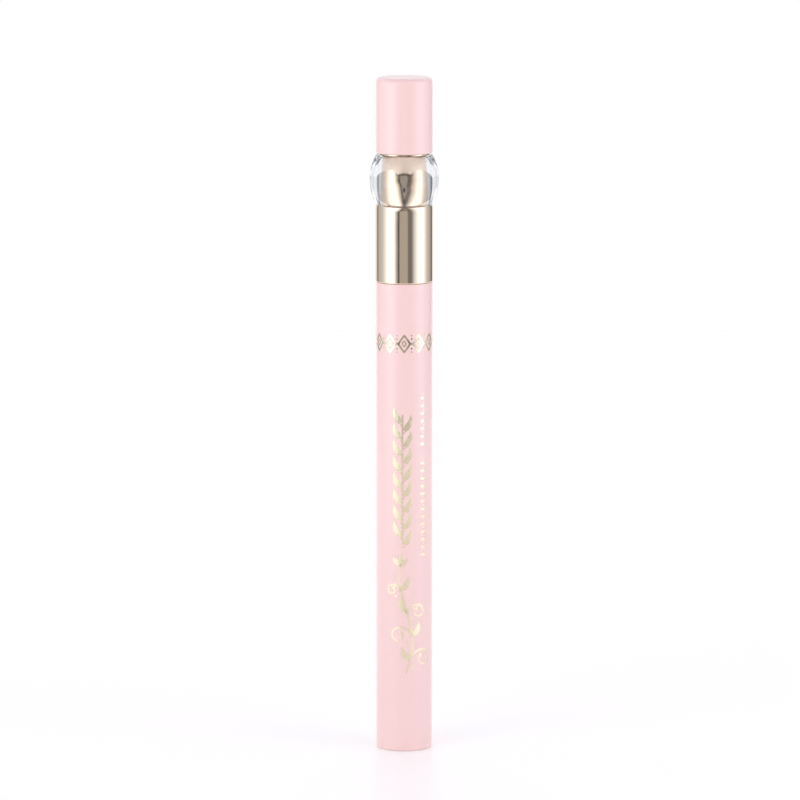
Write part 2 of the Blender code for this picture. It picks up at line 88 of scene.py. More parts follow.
LINER_RADIUS = LINER_HIGH.x
BUSH_RADIUS = BRUSH_HIGH.x

# Fits between the pieces, and small rounds
PRESS_GAP = 0.05 * MM
EDGE_ROUND = 0.1 * MM
FLANGE_ROUND = 0.12 * MM
BOSS_ROUND = 0.2 * MM
CUP_ROUND = 0.3 * MM

# Inside of the barrel
SEAT_BORE = 4.80 * MM
CHAMBER_BORE = 4.65 * MM
MOUTH_BORE = 5.10 * MM
MOUTH_DEPTH = 1.0 * MM
MOUTH_ROUND = 0.12 * MM
SPIGOT_LENGTH = 14.0 * MM

# Ribbed plugs, which are the tail plug and the front section's spigot
RIB_RADIUS = SEAT_BORE - PRESS_GAP
RIBBED_RADIUS = 4.60 * MM
RIB_COUNT = 3
RIB_SHARE = 0.3  # of the pitch, flat on top
RIB_SPAN = 5.4 * MM
PLUG_FLOOR = 1.4 * MM
PLUG_CUP = 3.70 * MM
PLUG_RIM = 1.0 * MM
PLUG_RIM_ROUND = 0.15 * MM
PLUG_DIMPLE = 0.6 * MM
PLUG_DIMPLE_DEPTH = 0.12 * MM

# Front section
CAP_SEAT_RADIUS = 4.60 * MM
SEAT_END = 104.5 * MM
SHOULDER_END = 105.5 * MM
SHOULDER_ROUND = 0.3 * MM
CONE_START = 111.5 * MM
NOZZLE_RADIUS = 3.10 * MM
NOZZLE_LIP = 1.40 * MM
NOZZLE_LIP_ROUND = 0.16 * MM
RIM_ROUND = 0.06 * MM
SNAP_LEVEL = 98.6 * MM
SNAP_WIDTH = 0.8 * MM
SNAP_HEIGHT = 0.08 * MM
GROOVE_DEPTH = 0.12 * MM
COLLECTOR_BORE = 3.65 * MM
COLLECTOR_END = 104.0 * MM
BUSH_BORE = BUSH_RADIUS + PRESS_GAP
BRUSH_BORE = 1.05 * MM
VENT_LEVEL = 102.2 * MM
VENT_RADIUS = 0.35 * MM
VENT_SIDES = 24
VENT_REACH = 2 * MM

# Brush
BRUSH_ROOT = 0.7 * MM
BUNDLE_RADIUS = 0.98 * MM
BRUSH_POINT = 0.03 * MM
BRISTLE_RADIUS = 0.035 * MM
BRISTLE_POINTS = 18
BRISTLE_SIDES = 5
BRISTLE_SPARE = 0.45  # of its length, which an outer bristle may fall short by
BRISTLE_THINS = 0.45  # of the way up, where it starts to thin
BRISTLE_TIP = 0.25  # of its thickness, left at its tip
GOLDEN_ANGLE = math.pi * (3 - math.sqrt(5))

# Cap
CAP_HOLE = 4.75 * MM  # of the ferrule, the bead, the collar and the cap end
CORE_RADIUS = CAP_HOLE - PRESS_GAP
CORE_BORE = 4.15 * MM
CORE_FLANGE = 0.6 * MM
CORE_EDGE_ROUND = 0.15 * MM
FERRULE_BORE = LINER_RADIUS + PRESS_GAP
FERRULE_TOP = 0.6 * MM
FERRULE_TOP_ROUND = 0.2 * MM
FERRULE_CROWN = 0.1 * MM
FERRULE_CROWN_HEIGHT = 0.6 * MM
FERRULE_CROWN_ROUND = 9 * MM
LINER_BORE = 4.70 * MM
LINER_LEAD = 0.3 * MM
COLLAR_ROUND = 0.03 * MM
CAP_END_ROUND = 0.22 * MM
CAP_CEILING = 134.6 * MM
SPRING_BOSS = 1.0 * MM
SPRING_WIRE_RADIUS = 0.2 * MM
CLOSED_PITCH = 1.06  # of the wire, from turn to turn at the spring's ends
BOSS_RADIUS = 2.90 * MM
INNER_CAP_RADIUS = 4.05 * MM
INNER_CAP_BORE = 3.45 * MM
INNER_CAP_SEAL_BORE = NOZZLE_RADIUS + PRESS_GAP
INNER_CAP_SEAL = 2.5 * MM
INNER_CAP_RELIEF = 0.3 * MM
INNER_CAP_ROUND = 0.25 * MM
INNER_CAP_WALL = 0.6 * MM
DOME_RADIUS = 2.90 * MM
FLANGE_RADIUS = 4.65 * MM
FLANGE_LOW = 128.1 * MM
FLANGE_HIGH = 128.8 * MM

# How finely the forms are drawn
FINE_SIDES = 192
SIDES = 96
BEAD_ARC_POINTS = 61
ROUND_POINTS = 9
ROUND_LIMIT_SHARE = 0.45
GUARD = 0.05 * MM  # from a round to the ring that keeps the shading of a long wall straight
SHARP_EDGE = math.radians(32)
HUB = 1 * MM  # the circle that an outline is swept round


def linear(colour):
    """An sRGB hex colour as the linear red, green, blue and alpha that Blender uses."""
    channels = [int(colour[i : i + 2], 16) / 255 for i in (0, 2, 4)]
    return (*(c / 12.92 if c <= 0.04045 else ((c + 0.055) / 1.055) ** 2.4 for c in channels), 1.0)


def length(label, description, default, least=0.0):
    """A size of the pen, shown in the scene's units."""
    return bpy.props.FloatProperty(
        name=label, description=description, default=default, min=least, unit="LENGTH", precision=5
    )


def paint(label, description, colour):
    """A colour of the pen, given as sRGB hex."""
    return bpy.props.FloatVectorProperty(
        name=label, description=description, default=linear(colour), size=4, min=0, max=1, subtype="COLOR"
    )


class EyelinerSizes(bpy.types.PropertyGroup):
    """Sizes of the pen's outside that a user would change."""

    foot_round: length("Foot Round", "Rounding of the barrel's foot edge", 0.6 * MM)
    crown_round: length("Crown Round", "Rounding of the cap's top edge", 1.0 * MM)
    lip_round: length("Lip Round", "Rolled lower lip of the gold ferrule", 0.55 * MM)
    bead_bulge: length("Bead Bulge", "How far the bead's middle stands out from its ends", 1.33 * MM)
    bead_edge: length("Bead Edge", "Bevel at the bead's two ends", 0.05 * MM)
    foil_thickness: length("Foil Thickness", "How proud the foil print stands", 0.015 * MM)
    band_level: length("Band Level", "Middle of the foil band above the foot", 83.1 * MM)
    vine_level: length("Vine Level", "Foot of the foil vine above the pen's foot", 42.4 * MM)
    sprig_level: length("Sprig Level", "Foot of the foil sprig above the pen's foot", 16.0 * MM)
    bristles: bpy.props.IntProperty(
        name="Bristles", description="How many bristles the brush has", default=320, min=20, max=900
    )


class EyelinerColours(bpy.types.PropertyGroup):
    """Colours of the pen's finishes."""

    pink: paint("Pink", "Moulded body and cap end", "FAD6D3")
    gold: paint("Gold", "Metallised ferrule, core and collar", "EED6BE")
    foil: paint("Foil", "Hot-stamped print", "ECDDBF")
    clear: paint("Clear", "Cast acrylic bead", "F7F8FA")
    natural: paint("Natural White", "Inner mouldings", "ECEAE4")
    fibre: paint("Fibre", "Bonded wick", "D8D2C8")
    bristle: paint("Bristle", "Brush", "1B1718")
    steel: paint("Steel", "Ball and spring", "C4C6C9")


class EyelinerStudio(bpy.types.PropertyGroup):
    """The camera, the table and the light."""

    camera_distance: length("Camera Distance", "From the pen's axis to the lens", 1.0)
    camera_height: length("Camera Height", "Above the table", 222 * MM)
    camera_side: length("Camera Side", "To the left of the pen's axis", 0.85 * MM)
    camera_tilt: bpy.props.FloatProperty(
        name="Camera Tilt", description="Below the horizon", default=math.radians(8.59), subtype="ANGLE"
    )
    focal_length: bpy.props.FloatProperty(
        name="Focal Length", description="For a sensor 36 mm wide", default=226.4, unit="CAMERA"
    )
    light: bpy.props.FloatProperty(
        name="Light", description="Strength of the room and its softboxes", default=1.0, min=0.0
    )


def feed(made, links):
    """Feeds a node's sockets with values, sockets, terms, or the first outputs of other nodes."""
    for socket, source in links.items():
        if isinstance(source, Term):
            source = source.socket
        elif isinstance(source, bpy.types.Node):
            source = source.outputs[0]
        if isinstance(source, bpy.types.NodeSocket):
            made.id_data.links.new(source, made.inputs[socket])
        else:
            made.inputs[socket].default_value = source


def node(tree, kind, links=None, **settings):
    """Adds one node with its settings, and feeds its sockets."""
    made = tree.nodes.new(kind)
    for name, value in settings.items():
        setattr(made, name, value)
    feed(made, links or {})
    return made


class Term:
    """A number that a socket of a tree gives. Arithmetic on it adds the nodes that work it out."""

    def __init__(self, source):
        self.socket = source.outputs[0] if isinstance(source, bpy.types.Node) else source
        self.tree = self.socket.id_data

    def work(self, operation, *others):
        """One step of arithmetic."""
        links = dict(enumerate((self, *others)))
        return Term(node(self.tree, "ShaderNodeMath", links, operation=operation))

    def __add__(self, other):
        return self.work("ADD", other)

    def __sub__(self, other):
        return self.work("SUBTRACT", other)

    def __mul__(self, other):
        return self.work("MULTIPLY", other)

    def __truediv__(self, other):
        return self.work("DIVIDE", other)

    def __pow__(self, other):
        return self.work("POWER", other)

    def ranged(self, start, end, low, high, way="LINEAR"):
        """Goes from low to high while this term goes from start to end, and stays there beyond."""
        links = {"Value": self, "From Min": start, "From Max": end, "To Min": low, "To Max": high}
        return Term(node(self.tree, "ShaderNodeMapRange", links, interpolation_type=way).outputs["Result"])

    def soft_step(self, start, end):
        """A soft step from 0 at the start to 1 at the end."""
        return self.ranged(start, end, 0.0, 1.0, "SMOOTHSTEP")

    def turned_to(self, level):
        """1 where this term is 0, and the level where it is 1."""
        return self * (level - 1.0) + 1.0


# Finishes
NOISE_LOW = 0.3  # noise mostly stays between these two
NOISE_HIGH = 0.7
PEEL_WIDTH = 1.1 * MM
PEEL_DEPTH = 0.0012 * MM
CLOUD_WIDTH = 9.0 * MM
SPECK_WIDTH = 0.35 * MM
POLISH_WIDTH = 0.25 * MM  # real buffing lines are 0.02 mm apart and wouldn't show
POLISH_DEPTH = 0.00004 * MM
HANDLING_WIDTH = 5.0 * MM
FLOW_WIDTH = 2.5 * MM
FLOW_DEPTH = 0.0004 * MM
ACRYLIC_DENSITY = 45.0  # takes a tenth of the light in 7 mm
ACRYLIC_BODY = "D4D5D7"
FOIL_GRAIN = 0.12 * MM
FOIL_GRAIN_DEPTH = 0.0008 * MM
FOIL_BREAK = 0.9 * MM
SPARK_WIDTH = 0.18 * MM
SPARK_DEPTH = 0.003 * MM
MILKY_DEPTH = 0.6 * MM
STRAND_WIDTH = 0.08 * MM  # real fibres are 0.02 mm thick, and are drawn four times as coarse to show
STRAND_DEPTH = 0.02 * MM
LAP_WIDTH = 0.3 * MM
LAP_DEPTH = 0.0003 * MM
DIE_DEPTH = 0.001 * MM


class Finish:
    """A material under way: its Principled shader, and patterns from the pen's own coordinates."""

    def __init__(self, name, colour):
        self.material = bpy.data.materials.new(name)
        self.material.use_nodes = True
        self.tree = self.material.node_tree
        self.tree.nodes.clear()
        self.colour = tuple(colour)
        self.shader = node(self.tree, "ShaderNodeBsdfPrincipled")
        self.output = node(self.tree, "ShaderNodeOutputMaterial", {"Surface": self.shader})
        self.place = node(self.tree, "ShaderNodeTexCoord").outputs["Object"]

    def grain(self, across, along=None, detail=2.0, roughness=0.5):
        """Soft noise, with its width across the pen and its length along it."""
        scale = (1 / across, 1 / across, 1 / (along or across))
        where = node(self.tree, "ShaderNodeMapping", {"Vector": self.place, "Scale": scale})
        links = {"Vector": where, "Scale": 1.0, "Detail": detail, "Roughness": roughness}
        return Term(node(self.tree, "ShaderNodeTexNoise", links).outputs["Fac"])

    def tone(self, pattern, share):
        """Darkens the colour by up to a share, where the pattern is low."""
        dark = (*(channel * (1 - share) for channel in self.colour[:3]), 1.0)
        links = {"Factor": pattern, 6: dark, 7: self.colour}
        mixed = node(self.tree, "ShaderNodeMix", links, data_type="RGBA").outputs[2]
        feed(self.shader, {"Base Color": mixed})

    def gloss(self, pattern, low, high):
        """Lets the roughness go from low to high with the pattern."""
        feed(self.shader, {"Roughness": pattern.ranged(NOISE_LOW, NOISE_HIGH, low, high)})

    def relief(self, pattern, depth, *normals):
        """Raises the surface, and its coat where that is named, by a real depth with the pattern."""
        bump = node(self.tree, "ShaderNodeBump", {"Height": pattern, "Distance": depth, "Strength": 1.0})
        feed(self.shader, {name: bump for name in ("Normal", *normals)})


def moulded_pink_abs(colour):
    """ABS, injection moulded and UV lacquered: a soft gloss under a clear coat, with a faint orange peel
    1.1 mm wide, clouds of tone some millimetres wide where the melt flowed, and a fine haze from
    handling."""
    made = Finish("moulded_pink_abs", colour)
    made.tone(made.grain(CLOUD_WIDTH, 3 * CLOUD_WIDTH), 0.03)
    made.gloss(made.grain(SPECK_WIDTH, detail=3.0), 0.27, 0.33)
    made.relief(made.grain(PEEL_WIDTH, detail=1.0), PEEL_DEPTH, "Coat Normal")
    feed(made.shader, {"IOR": 1.5, "Coat Weight": 0.7, "Coat Roughness": 0.2})
    return made.material


def metallised_pale_gold(colour):
    """Aluminium shell, vacuum metallised in pale gold: a mirror whose gloss changes a little where it was
    handled, with faint buffing lines round it."""
    made = Finish("metallised_pale_gold", colour)
    handled = made.grain(HANDLING_WIDTH, detail=4.0)
    made.tone(handled, 0.03)
    made.gloss(handled, 0.05, 0.1)
    made.relief(made.grain(40 * POLISH_WIDTH, POLISH_WIDTH), POLISH_DEPTH)
    feed(made.shader, {"Metallic": 1.0})
    return made.material


def cast_clear_acrylic(colour):
    """PMMA, cast and flame polished: water clear, a shade greyer where it is thick, with flow lines along
    the bore that are only just there."""
    made = Finish("cast_clear_acrylic", colour)
    haze = made.grain(CLOUD_WIDTH)
    made.tone(haze, 0.012)
    made.gloss(haze, 0.0, 0.012)
    made.relief(made.grain(FLOW_WIDTH, 4 * FLOW_WIDTH, detail=1.0), FLOW_DEPTH)
    feed(made.shader, {"Transmission Weight": 1.0, "IOR": 1.49})
    links = {"Color": linear(ACRYLIC_BODY), "Density": ACRYLIC_DENSITY}
    feed(made.output, {"Volume": node(made.tree, "ShaderNodeVolumeAbsorption", links)})
    return made.material


def stamped_gold_foil(colour):
    """Gold foil, hot stamped onto the lacquer: bright, a little rough, with the fine crackle of the carrier
    film and patches where it took less well."""
    made = Finish("stamped_gold_foil", colour)
    patches = made.grain(FOIL_BREAK)
    made.tone(patches, 0.12)
    made.gloss(patches, 0.08, 0.17)
    made.relief(made.grain(FOIL_GRAIN, detail=3.0), FOIL_GRAIN_DEPTH)
    feed(made.shader, {"Metallic": 1.0})
    return made.material


def moulded_polypropylene(colour):
    """Polypropylene, injection moulded in a spark-eroded tool: milky, soft and finely pitted."""
    made = Finish("moulded_polypropylene", colour)
    pits = made.grain(SPARK_WIDTH, detail=4.0, roughness=0.7)
    made.tone(made.grain(CLOUD_WIDTH), 0.05)
    made.gloss(pits, 0.36, 0.5)
    made.relief(pits, SPARK_DEPTH)
    feed(made.shader, {"Subsurface Weight": 0.15, "Subsurface Radius": (1.0, 0.9, 0.8)})
    feed(made.shader, {"Subsurface Scale": MILKY_DEPTH})
    return made.material


def bonded_polyester_fibre(colour):
    """Polyester fibres, bundled and heat bonded: matt, streaked along the rod."""
    made = Finish("bonded_polyester_fibre", colour)
    strands = made.grain(STRAND_WIDTH, 30 * STRAND_WIDTH, detail=3.0)
    made.tone(strands, 0.3)
    made.relief(strands, STRAND_DEPTH)
    feed(made.shader, {"Roughness": 0.9})
    return made.material


def black_nylon_bristle(colour):
    """Nylon monofilament, drawn and black: a soft gloss along each bristle, a little greyer in places."""
    made = Finish("black_nylon_bristle", colour)
    streaks = made.grain(STRAND_WIDTH, 12 * STRAND_WIDTH)
    made.tone(streaks, 0.5)
    made.gloss(streaks, 0.35, 0.5)
    return made.material


def lapped_steel(colour):
    """Stainless steel, lapped round: a bright mirror with fine lapping marks."""
    made = Finish("lapped_steel", colour)
    marks = made.grain(LAP_WIDTH, detail=5.0)
    made.tone(marks, 0.06)
    made.gloss(marks, 0.08, 0.16)
    made.relief(marks, LAP_DEPTH)
    feed(made.shader, {"Metallic": 1.0})
    return made.material


def drawn_spring_wire(colour):
    """Stainless wire, drawn and coiled: bright grey, with die lines and a slight heat tint."""
    made = Finish("drawn_spring_wire", colour)
    die = made.grain(2 * LAP_WIDTH, 0.1 * LAP_WIDTH, detail=3.0)
    made.tone(die, 0.25)
    made.gloss(die, 0.22, 0.36)
    made.relief(die, DIE_DEPTH)
    feed(made.shader, {"Metallic": 1.0})
    return made.material


FINISHES = {
    "pink_plastic": (moulded_pink_abs, "pink"),
    "pale_gold": (metallised_pale_gold, "gold"),
    "clear_acrylic": (cast_clear_acrylic, "clear"),
    "gold_foil": (stamped_gold_foil, "foil"),
    "white_plastic": (moulded_polypropylene, "natural"),
    "bonded_fibre": (bonded_polyester_fibre, "fibre"),
    "black_bristle": (black_nylon_bristle, "bristle"),
    "polished_steel": (lapped_steel, "steel"),
    "spring_steel": (drawn_spring_wire, "steel"),
}


def finish_of(slot):
    """The material of a slot, made when it is first asked for."""
    make, colour = FINISHES[slot]
    finish = bpy.data.materials.get(make.__name__)
    if finish is None:
        finish = make(getattr(bpy.context.scene.eyeliner_colours, colour))
    return finish


def stand(name, data):
    """Puts a mesh or a camera into the scene as an object."""
    thing = bpy.data.objects.new(name, data)
    bpy.context.scene.collection.objects.link(thing)
    return thing


def mesh_of(name, form):
    """The plain mesh of a form under way."""
    mesh = bpy.data.meshes.new(name)
    form.to_mesh(mesh)
    form.free()
    return mesh


def grown_mesh(thing):
    """The plain mesh that a thing's modifiers make. The thing is then removed."""
    graph = bpy.context.evaluated_depsgraph_get()
    mesh = bpy.data.meshes.new_from_object(thing.evaluated_get(graph), depsgraph=graph)
    bpy.data.objects.remove(thing)
    return mesh


def geometry_tree(name, numbers=(), counts=()):
    """A Geometry Nodes tree with inputs for a geometry, its numbers, its counts and the finish."""
    tree = bpy.data.node_groups.new(name, "GeometryNodeTree")
    tree.interface.new_socket("Geometry", in_out="OUTPUT", socket_type="NodeSocketGeometry")
    inputs = {"Geometry": ["Geometry"], "Float": numbers, "Int": counts, "Material": ["Finish"]}
    for kind, labels in inputs.items():
        for label in labels:
            tree.interface.new_socket(label, in_out="INPUT", socket_type=f"NodeSocket{kind}")
    given = node(tree, "NodeGroupInput").outputs
    return tree, {socket.name: Term(socket) for socket in given if socket.name}


def end_tree(tree, source, finish):
    """Ends a tree: welded, smooth but for its sharp edges, real, and in its finish."""
    welded = node(tree, "GeometryNodeMergeByDistance", {"Geometry": source, "Distance": NOTHING})
    links = {"A": node(tree, "GeometryNodeInputMeshEdgeAngle"), "B": SHARP_EDGE}
    soft = node(tree, "FunctionNodeCompare", links, data_type="FLOAT", operation="LESS_THAN")
    smooth = node(tree, "GeometryNodeSetShadeSmooth", {"Geometry": welded}, domain="FACE")
    links = {"Geometry": smooth, "Shade Smooth": soft}
    creased = node(tree, "GeometryNodeSetShadeSmooth", links, domain="EDGE")
    real = node(tree, "GeometryNodeRealizeInstances", {"Geometry": creased})
    painted = node(tree, "GeometryNodeSetMaterial", {"Geometry": real, "Material": finish})
    node(tree, "NodeGroupOutput", {"Geometry": painted})


def moved(tree, geometry, x, y, z, how="Position"):
    """A geometry whose points go to a place, or by an offset."""
    place = node(tree, "ShaderNodeCombineXYZ", {"X": x, "Y": y, "Z": z})
    return node(tree, "GeometryNodeSetPosition", {"Geometry": geometry, how: place})


def grow(name, tree, slot, values, start=None):
    """The plain mesh that a tree makes from a start and the given values, its faces turned outwards."""
    source = stand(f"{name}_start", start or bpy.data.meshes.new(f"{name}_start"))
    modifier = source.modifiers.new(tree.name, "NODES")
    modifier.node_group = tree
    values = {**values, "Finish": finish_of(slot)}
    for item in tree.interface.items_tree:
        if item.in_out == "INPUT" and item.name in values:
            modifier[item.identifier] = values[item.name]
    mesh = grown_mesh(source)
    mesh.name = name
    if not mesh.polygons:
        raise RuntimeError(f"{name}: the tree made no faces")
    form = bmesh.new()
    form.from_mesh(mesh)
    bmesh.ops.recalc_face_normals(form, faces=form.faces)
    form.to_mesh(mesh)
    form.free()
    return mesh


def show(name, mesh, body, slot, *nodes):
    """Puts a finished mesh on its body, for the solids that it stands for. Its slot is not used."""
    piece = stand(name, mesh)
    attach(piece, body)
    if nodes:
        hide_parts(*nodes)


def outline(corners):
    """The points of an outline. A corner is (radius, height), then the size of its round if it has one.
    A round has a guard point on each side, so that the wall beside it is shaded as straight as it is."""
    points = []
    for index, corner in enumerate(corners):
        here = Vector(corner[:2])
        if len(corner) == 2:
            points.append(here)
            continue
        back = Vector(corners[index - 1][:2]) - here
        on = Vector(corners[(index + 1) % len(corners)][:2]) - here
        half = back.angle(on) / 2
        size = min(corner[2], ROUND_LIMIT_SHARE * min(back.length, on.length) * math.tan(half))
        reach = size / math.tan(half)
        back.normalize()
        on.normalize()
        centre = here + (back + on).normalized() * size / math.sin(half)
        start = (here + back * reach - centre).normalized()
        end = (here + on * reach - centre).normalized()
        points.append(here + back * (reach + GUARD))
        for step in range(ROUND_POINTS):
            points.append(centre + start.slerp(end, step / (ROUND_POINTS - 1)) * size)
        points.append(here + on * (reach + GUARD))
    return points


def threads(name, chains):
    """A mesh of bare threads. A chain is its points, whether it closes, and half its width at each."""
    points, edges, widths = [], [], []
    for chain, closed, halves in chains:
        first = len(points)
        points += chain
        widths += halves
        edges += [(first + i, first + i + 1) for i in range(len(chain) - 1)]
        if closed:
            edges.append((len(points) - 1, first))
    mesh = bpy.data.meshes.new(name)
    mesh.from_pydata([tuple(p) for p in points], edges, [])
    mesh.attributes.new("half_width", "FLOAT", "POINT").data.foreach_set("value", widths)
    return mesh


def lathe(tree, drawn, sides):
    """An outline, drawn as radius and height, swept once round the pen's axis. The sweep goes round a small
    hub: it takes a radius from there, and a height downwards."""
    place = node(tree, "ShaderNodeSeparateXYZ", {0: node(tree, "GeometryNodeInputPosition")})
    x, y, _ = map(Term, place.outputs)
    hub = node(tree, "GeometryNodeCurvePrimitiveCircle", {"Resolution": sides, "Radius": HUB})
    level = node(tree, "GeometryNodeSetCurveNormal", {"Curve": hub}, mode="Z_UP")
    links = {"Curve": level, "Profile Curve": moved(tree, drawn, x - HUB, y * -1.0, 0.0)}
    return node(tree, "GeometryNodeCurveToMesh", links)


def turning_tree():
    """A lathe for outlines that are drawn as threads."""
    name = "turned_form"
    tree = bpy.data.node_groups.get(name)
    if tree is None:
        tree, given = geometry_tree(name, counts=["Sides"])
        drawn = node(tree, "GeometryNodeMeshToCurve", {"Mesh": given["Geometry"]})
        end_tree(tree, lathe(tree, drawn, given["Sides"]), given["Finish"])
    return tree


def turned(name, corners, slot, sides=SIDES):
    """A turned form as a plain mesh. Its outline runs down the outside and up the bore, or axis to axis."""
    points = [(p.x, p.y, 0) for p in outline(corners)]
    start = threads(f"{name}_outline", [(points, corners[0][0] > 0, [0.0] * len(points))])
    return grow(name, turning_tree(), slot, {"Sides": sides}, start)


def show_turned(name, corners, body, slot, *nodes, sides=SIDES):
    """Turns a form and puts it on its body."""
    show(name, turned(name, corners, slot, sides), body, slot, *nodes)


def sealing_ribs(low, high):
    """Outline corners, downwards, of the ribs that seal a plug in its seat between two heights."""
    pitch = (high - low) / RIB_COUNT
    flat = pitch * RIB_SHARE
    height = RIB_RADIUS - RIBBED_RADIUS
    corners = []
    for index in range(RIB_COUNT):
        middle = high - pitch * (index + 0.5)
        corners += [
            (RIBBED_RADIUS, middle + flat / 2 + height),
            (RIB_RADIUS, middle + flat / 2, height / 3),
            (RIB_RADIUS, middle - flat / 2, height / 3),
            (RIBBED_RADIUS, middle - flat / 2 - height),
        ]
    return corners


def snap_ring(radius, height):
    """Outline corners, downwards, of the ring that holds the cap on, or of the groove round it."""
    half = SNAP_WIDTH / 2
    return [
        (radius, SNAP_LEVEL + half + height),
        (radius + height, SNAP_LEVEL + half),
        (radius + height, SNAP_LEVEL - half),
        (radius, SNAP_LEVEL - half - height),
    ]


def make_barrel(sizes):
    """The long pink tube, which is the ink chamber."""
    plug_stop = PLUG_HIGH.z + PRESS_GAP
    spigot_stop = BARREL_HIGH.z - SPIGOT_LENGTH - PRESS_GAP
    mouth = BARREL_HIGH.z - MOUTH_DEPTH
    corners = [
        (BARREL_RADIUS, BARREL_HIGH.z, MOUTH_ROUND),
        (BARREL_RADIUS, BARREL_LOW.z, sizes.foot_round),
        (SEAT_BORE, BARREL_LOW.z),
        (SEAT_BORE, plug_stop),
        (CHAMBER_BORE, plug_stop),
        (CHAMBER_BORE, spigot_stop),
        (SEAT_BORE, spigot_stop),
        (SEAT_BORE, mouth),
        (MOUTH_BORE, mouth),
        (MOUTH_BORE, BARREL_HIGH.z),
    ]
    show_turned("barrel_tube", corners, "pen", "pink_plastic", "barrel", sides=FINE_SIDES)


def make_tail_plug():
    """The ribbed cup in the barrel's foot, with the dimple that its moulding gate leaves."""
    corners = [
        (0, PLUG_FLOOR),
        (PLUG_CUP, PLUG_FLOOR, CUP_ROUND),
        (PLUG_CUP, PLUG_HIGH.z),
        (RIBBED_RADIUS, PLUG_HIGH.z, EDGE_ROUND),
        *sealing_ribs(PLUG_RIM, PLUG_HIGH.z),
        (RIBBED_RADIUS, PLUG_RIM),
        (RIB_RADIUS, PLUG_RIM),
        (RIB_RADIUS, PLUG_LOW.z, PLUG_RIM_ROUND),
        (PLUG_DIMPLE, PLUG_LOW.z),
        (PLUG_DIMPLE - PLUG_DIMPLE_DEPTH, PLUG_LOW.z + PLUG_DIMPLE_DEPTH),
        (0, PLUG_LOW.z + PLUG_DIMPLE_DEPTH),
    ]
    show_turned("plug_cup", corners, "pen", "white_plastic", "tail_plug")


def make_mixing_ball():
    """The loose steel ball."""
    middle = Matrix.Translation((BALL_LOW + BALL_HIGH) / 2)
    form = bmesh.new()
    bmesh.ops.create_icosphere(form, subdivisions=5, radius=BALL_HIGH.x, matrix=middle)
    mesh = mesh_of("steel_ball", form)
    mesh.shade_smooth()
    mesh.materials.append(finish_of("polished_steel"))
    show("steel_ball", mesh, "ball", "polished_steel", "mixing_ball")


def make_front_section():
    """The pink moulding in the barrel's mouth: spigot, seat with snap ring, shoulder, nozzle and vent."""
    rim_radius = MOUTH_BORE - PRESS_GAP
    rim_foot = BARREL_HIGH.z - MOUTH_DEPTH + PRESS_GAP
    corners = [
        (NOZZLE_LIP, SECTION_HIGH.z, NOZZLE_LIP_ROUND),
        (NOZZLE_RADIUS, CONE_START),
        (NOZZLE_RADIUS, SHOULDER_END),
        (CAP_SEAT_RADIUS, SEAT_END, SHOULDER_ROUND),
        *snap_ring(CAP_SEAT_RADIUS, SNAP_HEIGHT),
        (CAP_SEAT_RADIUS, BARREL_HIGH.z),
        (rim_radius, BARREL_HIGH.z, RIM_ROUND),
        (rim_radius, rim_foot),
        (RIBBED_RADIUS, rim_foot),
        *sealing_ribs(rim_foot - RIB_SPAN, rim_foot),
        (RIBBED_RADIUS, SECTION_LOW.z),
        (COLLECTOR_BORE, SECTION_LOW.z),
        (COLLECTOR_BORE, COLLECTOR_END),
        (BUSH_BORE, COLLECTOR_END),
        (BUSH_BORE, CONE_START),
        (BRUSH_BORE, CONE_START),
        (BRUSH_BORE, SECTION_HIGH.z),
    ]
    mesh = drilled(turned("nozzle_moulding", corners, "pink_plastic"))
    show("nozzle_moulding", mesh, "pen", "pink_plastic", "front_section")


def drilled(mesh):
    """The front section with its round vent, from the front of the cap's seat into the collector's bore."""
    middle = Vector((0, -(CAP_SEAT_RADIUS + COLLECTOR_BORE) / 2, VENT_LEVEL))
    links = {"radius1": VENT_RADIUS, "radius2": VENT_RADIUS, "depth": VENT_REACH, "segments": VENT_SIDES}
    place = Matrix.Translation(middle) @ Matrix.Rotation(math.pi / 2, 4, "X")
    form = bmesh.new()
    bmesh.ops.create_cone(form, cap_ends=True, matrix=place, **links)
    drill = stand("vent_drill", mesh_of("vent_drill", form))
    blank = stand("vent_blank", mesh)
    hole = blank.modifiers.new("Vent", "BOOLEAN")
    hole.operation = "DIFFERENCE"
    hole.object = drill
    mesh = grown_mesh(blank)
    bpy.data.objects.remove(drill)
    return mesh


def make_ferrule(sizes):
    """The bright gold sleeve at the cap's mouth, rolled in at its lip."""
    shelf = FERRULE_HIGH.z - FERRULE_TOP
    corners = [
        (FERRULE_RADIUS - FERRULE_CROWN, FERRULE_HIGH.z, FERRULE_TOP_ROUND),
        (FERRULE_RADIUS, FERRULE_HIGH.z - FERRULE_CROWN_HEIGHT, FERRULE_CROWN_ROUND),
        (FERRULE_RADIUS, FERRULE_LOW.z, sizes.lip_round),
        (FERRULE_BORE, FERRULE_LOW.z),
        (FERRULE_BORE, shelf),
        (CAP_HOLE, shelf),
        (CAP_HOLE, FERRULE_HIGH.z),
    ]
    show_turned("gold_ferrule", corners, "cap", "pale_gold", "ferrule", sides=FINE_SIDES)


def make_liner():
    """The sleeve that grips the front section."""
    corners = [
        (LINER_RADIUS, LINER_HIGH.z),
        (LINER_RADIUS, LINER_LOW.z, EDGE_ROUND),
        (LINER_BORE + LINER_LEAD, LINER_LOW.z),
        (LINER_BORE, LINER_LOW.z + LINER_LEAD),
        *reversed(snap_ring(LINER_BORE, GROOVE_DEPTH)),
        (LINER_BORE, LINER_HIGH.z),
    ]
    show_turned("liner_sleeve", corners, "cap", "white_plastic", "cap_liner")


